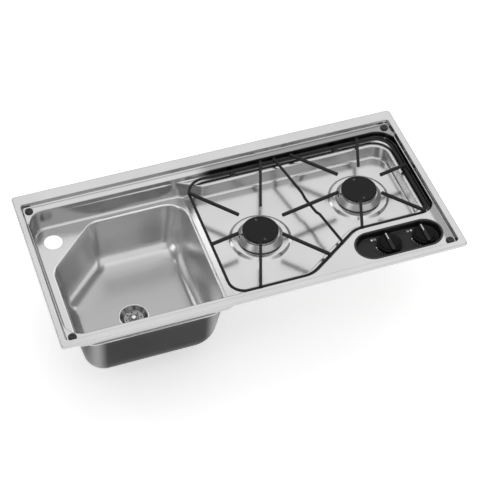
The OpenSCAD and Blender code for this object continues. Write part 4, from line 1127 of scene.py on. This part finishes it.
def reach_to_ring(point, direction):
    """Distance from a place to the ring's centre line along a direction."""
    best = 1e9
    for k, (place, _) in enumerate(RING_LINE):
        edge = RING_LINE[(k + 1) % len(RING_LINE)][0] - place
        det = direction.x * edge.y - direction.y * edge.x
        if abs(det) > 1e-9:
            gap = place - point
            along = (gap.x * edge.y - gap.y * edge.x) / det
            share = (gap.x * direction.y - gap.y * direction.x) / det
            if along > 0 and -1e-6 <= share <= 1 + 1e-6:
                best = min(best, along)
    return best


def finger(start, stop):
    """Square bar between two plan places."""
    return rod("finger", [spot(*start, FINGER_D), spot(*stop, FINGER_D)], ROD_R, square=True)


def make_support():
    """Wire frame on which the pans stand: ring, fingers, brace and rubber feet."""
    ring = rod("support_ring", [spot(*place, RING_D) for place, _ in RING_LINE], ROD_R, closed=True)
    dress(ring, "pan_support", ROD_ENAMEL, "black_enamel_rod", "pan_support_ring")
    between = BURNERS["right"] - BURNERS["left"]
    star = math.atan2(between.y, between.x)
    ends, fingers = {}, []
    for number, side in enumerate(("left", "right")):
        for k in range(1, 6):
            angle = star + math.pi * number + math.radians(60 * k)
            direction = Vector((math.cos(angle), math.sin(angle)))
            reach = reach_to_ring(BURNERS[side], direction)
            ends[number, k] = BURNERS[side] + direction * reach
            fingers.append(finger(BURNERS[side] + direction * FINGER_TIP_R,
                                  BURNERS[side] + direction * (reach + FINGER_PAST)))
    step = between.normalized() * FINGER_TIP_R
    fingers.append(finger(BURNERS["left"] + step, BURNERS["right"] - step))
    dress(join(fingers, "support_fingers"), "pan_support", ROD_ENAMEL, "black_enamel_rod",
          "pan_support_fingers")

    rear = ends[0, 1].lerp(ends[1, 5], 0.449)
    front = ends[0, 5].lerp(ends[1, 1], 0.41)
    heading = (front - rear).normalized()
    length = reach_to_ring(rear + heading * 20, heading) + 20 + FINGER_PAST
    gap = BURNERS["left"] - rear
    cross = (gap.x * between.y - gap.y * between.x) / (heading.x * between.y - heading.y * between.x)
    line = softened([(-FINGER_PAST, FINGER_D), (cross - 36, FINGER_D), (cross - 22, RING_D),
                     (cross + 22, RING_D), (cross + 36, FINGER_D), (length, FINGER_D)], (12, 12, 12, 12), 6)
    brace = rod("support_brace", [spot(*(rear + heading * point.x), point.y) for point in line], ROD_R)
    dress(brace, "pan_support", ROD_ENAMEL, "black_enamel_rod", "pan_support_brace")

    width = RING[4].x - RING[5].x
    places = [Vector((RING[5].x + width * 0.235, RING[4].y)), Vector((RING[5].x + width * 0.743, RING[4].y)),
              Vector((RING[5].x + width * 0.12, RING[0].y)), Vector((RING[5].x + width * 0.81, RING[2].y))]
    section = [(-4, 22), (4, 22), (4, 15)] + [(3 * math.cos(math.radians(22.5 * k)),
               15 + 3 * math.sin(math.radians(22.5 * k))) for k in range(9)] + [(-4, 15)]
    foot = begin("foot")
    for number, x in enumerate((-5.5, 5.5), 1):
        loop = [spot(places[0].x + x, places[0].y + y, depth) for y, depth in section]
        if number == 1:
            add_loop(foot, loop, number)
        else:
            pull_loop(foot, loop, number)
    for number in (1, 2):
        fill_between(foot, number)
    end(foot)
    bevelled(foot, 0.7, 3, 50)
    smooth(foot, 35)
    feet = [foot] + [copied(foot, "foot", place - places[0]) for place in places[1:]]
    dress(join(feet, "support_feet"), "pan_support", RUBBER, "black_rubber", "pan_support_feet")


# Drain, waste and bumpers
DISHED = 0.093
STRAINER_HOLES_R = 15.9
FLANGE_EDGE_R = 30.4
THREADS = 11
THREAD_PITCH = 3.0
BUMPER_OFF = 28.5
BUMPER_ROWS = (27.0, 382.0)


def make_drain():
    """Bright waste fitting: dished flange, strainer with a raised ring, screw."""
    line = [(33.0, 168.0), (32.9, 167.3), (32.4, 166.8), (31.5, 166.6), (30.2, 166.62), (29.2, 167.0),
            (28.2, 168.0), (26.6, 170.2), (24.8, 172.6), (23.2, 174.6), (22.2, 175.4), (21.4, 175.8),
            (20.6, 175.9), (20.6, 177.0), (23.2, 177.0), (28.8, 169.2), (28.8, 168.0)]
    flange = turn("waste_flange", DRAIN, line, 96)
    dress(flange, "unit", STEEL_DRAIN, "bright_steel", "drain_flange")
    heart = spot(*DRAIN, 0)
    second_finish(flange, STEEL_BRIGHT, lambda face: away_from(heart, face.center) > FLANGE_EDGE_R)
    plate = begin("waste_strainer")
    add_loop(plate, circle_loop(DRAIN, 20.2, 174.0), 1)
    add_loop(plate, circle_loop(DRAIN, 11.6, 174.8), 2)
    for k in range(8):
        hole = circle_loop(polar(DRAIN, STRAINER_HOLES_R, 45 * k), 1.7, 174.4, 24)
        add_loop(plate, [place + Vector((0, 0, DISHED * (away_from(heart, place) - STRAINER_HOLES_R) * MM))
                         for place in hole], 3)
    fill_between(plate, 1, 2, 3)
    pick_loops(plate, [1])
    for point in ((21.0, 174.0), (21.6, 174.4), (21.8, 175.0)):
        pull_loop(plate, circle_loop(DRAIN, *point), 4)
    pick_loops(plate, [2])
    for point in ((11.0, 174.5), (10.4, 173.8), (9.8, 173.55), (9.2, 173.8), (8.5, 174.4), (7.8, 174.5),
                  (6.9, 174.1), (6.2, 172.9), (5.8, 171.7), (5.4, 171.35), (3.3, 171.3)):
        pull_loop(plate, circle_loop(DRAIN, *point), 5)
    end(plate, up=1)
    apply_modifier(plate, "SOLIDIFY", thickness=0.6 * MM, offset=-1)
    smooth(plate, 35)
    dress(plate, "unit", STEEL_DRAIN, "bright_steel", "drain_strainer")
    screw = turn("waste_screw", DRAIN, [(0, 169.3), (3.2, 169.35), (4.4, 169.6), (4.9, 170.1), (5.0, 170.8),
                 (5.0, 171.3), (3.0, 171.3), (3.0, 189.4), (2.4, 190.0), (0, 190.0)], 48)
    dress(screw, "unit", STEEL_BRIGHT, "bright_steel", "drain_screw")


def make_waste():
    """White cup under the bowl with the threaded tail."""
    line = [(30.0, 171.0), (35.6, 171.0), (36.0, 171.4), (36.0, 174.6), (35.6, 175.0), (33.4, 175.2),
            (33.0, 175.8), (33.0, 190.6), (32.4, 192.2), (31.0, 193.0), (20.8, 193.2), (20.0, 194.0)]
    for k in range(THREADS):
        line += [(radius, depth + THREAD_PITCH * k)
                 for radius, depth in ((20.0, 196.2), (19.2, 196.9), (19.2, 197.7), (20.0, 198.4))]
    line += [(20.0, 230.4), (19.6, 231.0), (17.4, 231.0), (17.0, 230.6), (17.0, 190.4), (17.4, 190.0),
             (29.4, 190.0), (30.0, 189.4)]
    cup = turn("waste_cup", DRAIN, line, 80)
    dress(cup, "unit", WASTE_PLASTIC, "white_plastic", "waste_body")


def make_bumpers():
    """Four rubber buttons with a dimple."""
    places = [Vector((x, y)) for y in BUMPER_ROWS for x in (BUMPER_OFF, UNIT_W - BUMPER_OFF)]
    line = [(0, 7.25), (1.6, 7.15), (2.5, 6.6), (3.0, 5.6), (3.5, 5.1), (4.2, 5.0), (6.0, 5.0), (6.7, 5.2),
            (7.2, 5.7), (8.5, 7.6), (8.8, 8.4), (8.8, 9.3), (8.5, 9.5), (3.0, 9.5), (3.0, 10.5), (4.2, 10.5),
            (4.2, 10.9), (3.0, 15.0), (0, 15.0)]
    button = turn("bumper", places[0], line, 40)
    buttons = [button] + [copied(button, "bumper", place - places[0]) for place in places[1:]]
    dress(join(buttons, "lid_bumpers"), "unit", RUBBER, "black_rubber", "corner_bumpers")


# Springs of the taps
SPRING_R = 3.9
WIRE_R = 0.45
SPRING_TURNS = 5


def make_springs():
    """Coil springs of the taps, drawn at one length; a real one shortens as its knob is pushed in."""
    top, foot = depths("tap_spring_left")
    steps = 24 * SPRING_TURNS
    path = []
    for k in range(steps + 1):
        place = polar(KNOBS["left"], SPRING_R, 360 * SPRING_TURNS * k / steps)
        path.append(spot(*place, top + WIRE_R + (foot - top - 2 * WIRE_R) * k / steps))
    left = rod("coil_left", path, WIRE_R)
    right = copied(left, "coil_right", KNOBS["right"] - KNOBS["left"])
    for side, spring in (("left", left), ("right", right)):
        dress(spring, "unit", ZINC, "zinc_steel", "tap_spring_" + side)
        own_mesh(spring)


make_top()
make_bowl()
make_panel()
make_marks()
make_knobs()
make_burners()
make_support()
make_drain()
make_waste()
make_bumpers()
make_springs()

# Nodes that keep their CAD shape get their finish here
FINISHES = {
    "rim_seal": FOAM, "drain_gasket": RUBBER, "tap_bracket": ZINC, "bracket_nuts": ZINC, "gas_rail": ZINC,
    "inlet_pipe": ZINC, "gas_tap": BRASS, "magnet_valve": ZINC, "tap_plunger": ZINC, "tap_spindle": BRASS,
    "feed_pipe": PIPE_ALUMINIUM, "burner_cup": CAST_ALUMINIUM, "burner_jet": BRASS,
    "thermocouple_lead": COPPER, "burner_screws": STEEL_BRIGHT, "clamp_brackets": ZINC, "clamp_screws": ZINC,
}
for node_name, node_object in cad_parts.items():
    base = node_name.removesuffix("_left").removesuffix("_right")
    if base in FINISHES:
        for shader_slot in node_object.material_slots:
            shader_slot.material = FINISHES[base]


# Studio
def softbox_group():
    """Mask of a rectangular soft box seen along a direction: 1 inside, 0 outside, soft at the edge."""
    group = bpy.data.node_groups.new("softbox", "ShaderNodeTree")
    for name in ("Direction", "Centre", "Across", "Up"):
        group.interface.new_socket(name, in_out="INPUT", socket_type="NodeSocketVector")
    for name in ("Half width", "Half height", "Edge"):
        group.interface.new_socket(name, in_out="INPUT", socket_type="NodeSocketFloat")
    group.interface.new_socket("Mask", in_out="OUTPUT", socket_type="NodeSocketFloat")
    inside = add_node(group, "NodeGroupInput").outputs
    outside = add_node(group, "NodeGroupOutput")

    def along(axis):
        return add_node(group, "ShaderNodeVectorMath", {0: inside["Direction"], 1: inside[axis]},
                        operation="DOT_PRODUCT").outputs["Value"]

    ahead = along("Centre")
    front = reckon(group, "MAXIMUM", ahead, 0.05)
    masks = [reckon(group, "GREATER_THAN", ahead, 0.05)]
    for axis, half in (("Across", "Half width"), ("Up", "Half height")):
        away = reckon(group, "ABSOLUTE", reckon(group, "DIVIDE", along(axis), front))
        limit = reckon(group, "ADD", inside[half], inside["Edge"])
        masks.append(ramp_between(group, away, limit, inside[half]))
    feed(group, outside, {"Mask": reckon(group, "MULTIPLY", *masks)})
    return group


# Soft boxes: azimuth from +x, elevation, half width and half height as tangents, edge, brightness
SOFTBOXES = ((66, 50, 0.42, 0.34, 0.2, 0.82), (131, 32, 0.045, 0.5, 0.05, 2.2),
             (-76, 40, 0.5, 0.28, 0.25, 0.5), (-100, 84, 0.3, 0.3, 0.2, 0.9),
             (20, 24, 0.06, 0.4, 0.06, 1.6), (200, 30, 0.1, 0.4, 0.1, 1.2),
             (-77, 8, 1.4, 0.2, 0.16, 0.75), (112, 44, 0.16, 0.3, 0.12, -0.22))
AMBIENT = 0.34
FLOOR_GLOW = 0.5
FLOOR_SIZE = 60
FLOOR_GAP = 2.0
FLOOR_COLOUR = (0.82, 0.82, 0.82, 1)


def make_studio():
    """Pale floor under a plain tent with soft boxes."""
    low = min(corner[2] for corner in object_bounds())
    bpy.ops.object.select_all(action="DESELECT")
    bpy.ops.mesh.primitive_plane_add(size=FLOOR_SIZE, location=(0, 0, low - FLOOR_GAP * MM))
    floor = bpy.context.object
    floor.name = "floor"
    material, tree, shader = shader_tree("floor_white")
    path = add_node(tree, "ShaderNodeLightPath").outputs
    seen = reckon(tree, "MAXIMUM", path["Is Camera Ray"], path["Is Glossy Ray"], path["Is Transmission Ray"])
    feed(tree, shader, {"Base Color": FLOOR_COLOUR, "Roughness": 1.0, "Specular IOR Level": 0.0,
                        "Emission Color": (1, 1, 1, 1),
                        "Emission Strength": reckon(tree, "MULTIPLY", seen, FLOOR_GLOW)})
    floor.data.materials.append(material)
    floor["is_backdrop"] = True

    world = bpy.data.worlds.new("studio")
    bpy.context.scene.world = world
    world.use_nodes = True
    tree = world.node_tree
    sky = add_node(tree, "ShaderNodeTexCoord").outputs["Generated"]
    group = softbox_group()
    total = AMBIENT
    for azimuth, elevation, half_width, half_height, edge, level in SOFTBOXES:
        a, e = math.radians(azimuth), math.radians(elevation)
        centre = Vector((math.cos(e) * math.cos(a), math.cos(e) * math.sin(a), math.sin(e)))
        across = Vector((-math.sin(a), math.cos(a), 0))
        box = add_node(tree, "ShaderNodeGroup", {
            "Direction": sky, "Centre": centre, "Across": across, "Up": centre.cross(across),
            "Half width": half_width, "Half height": half_height, "Edge": edge}, node_tree=group)
        total = add_node(tree, "ShaderNodeMath", {0: box.outputs["Mask"], 1: level, 2: total},
                         operation="MULTIPLY_ADD").outputs[0]
    feed(tree, tree.nodes["Background"], {"Color": (1, 1, 1, 1), "Strength": total})


make_studio()
bpy.context.scene.view_settings.view_transform = "Standard"
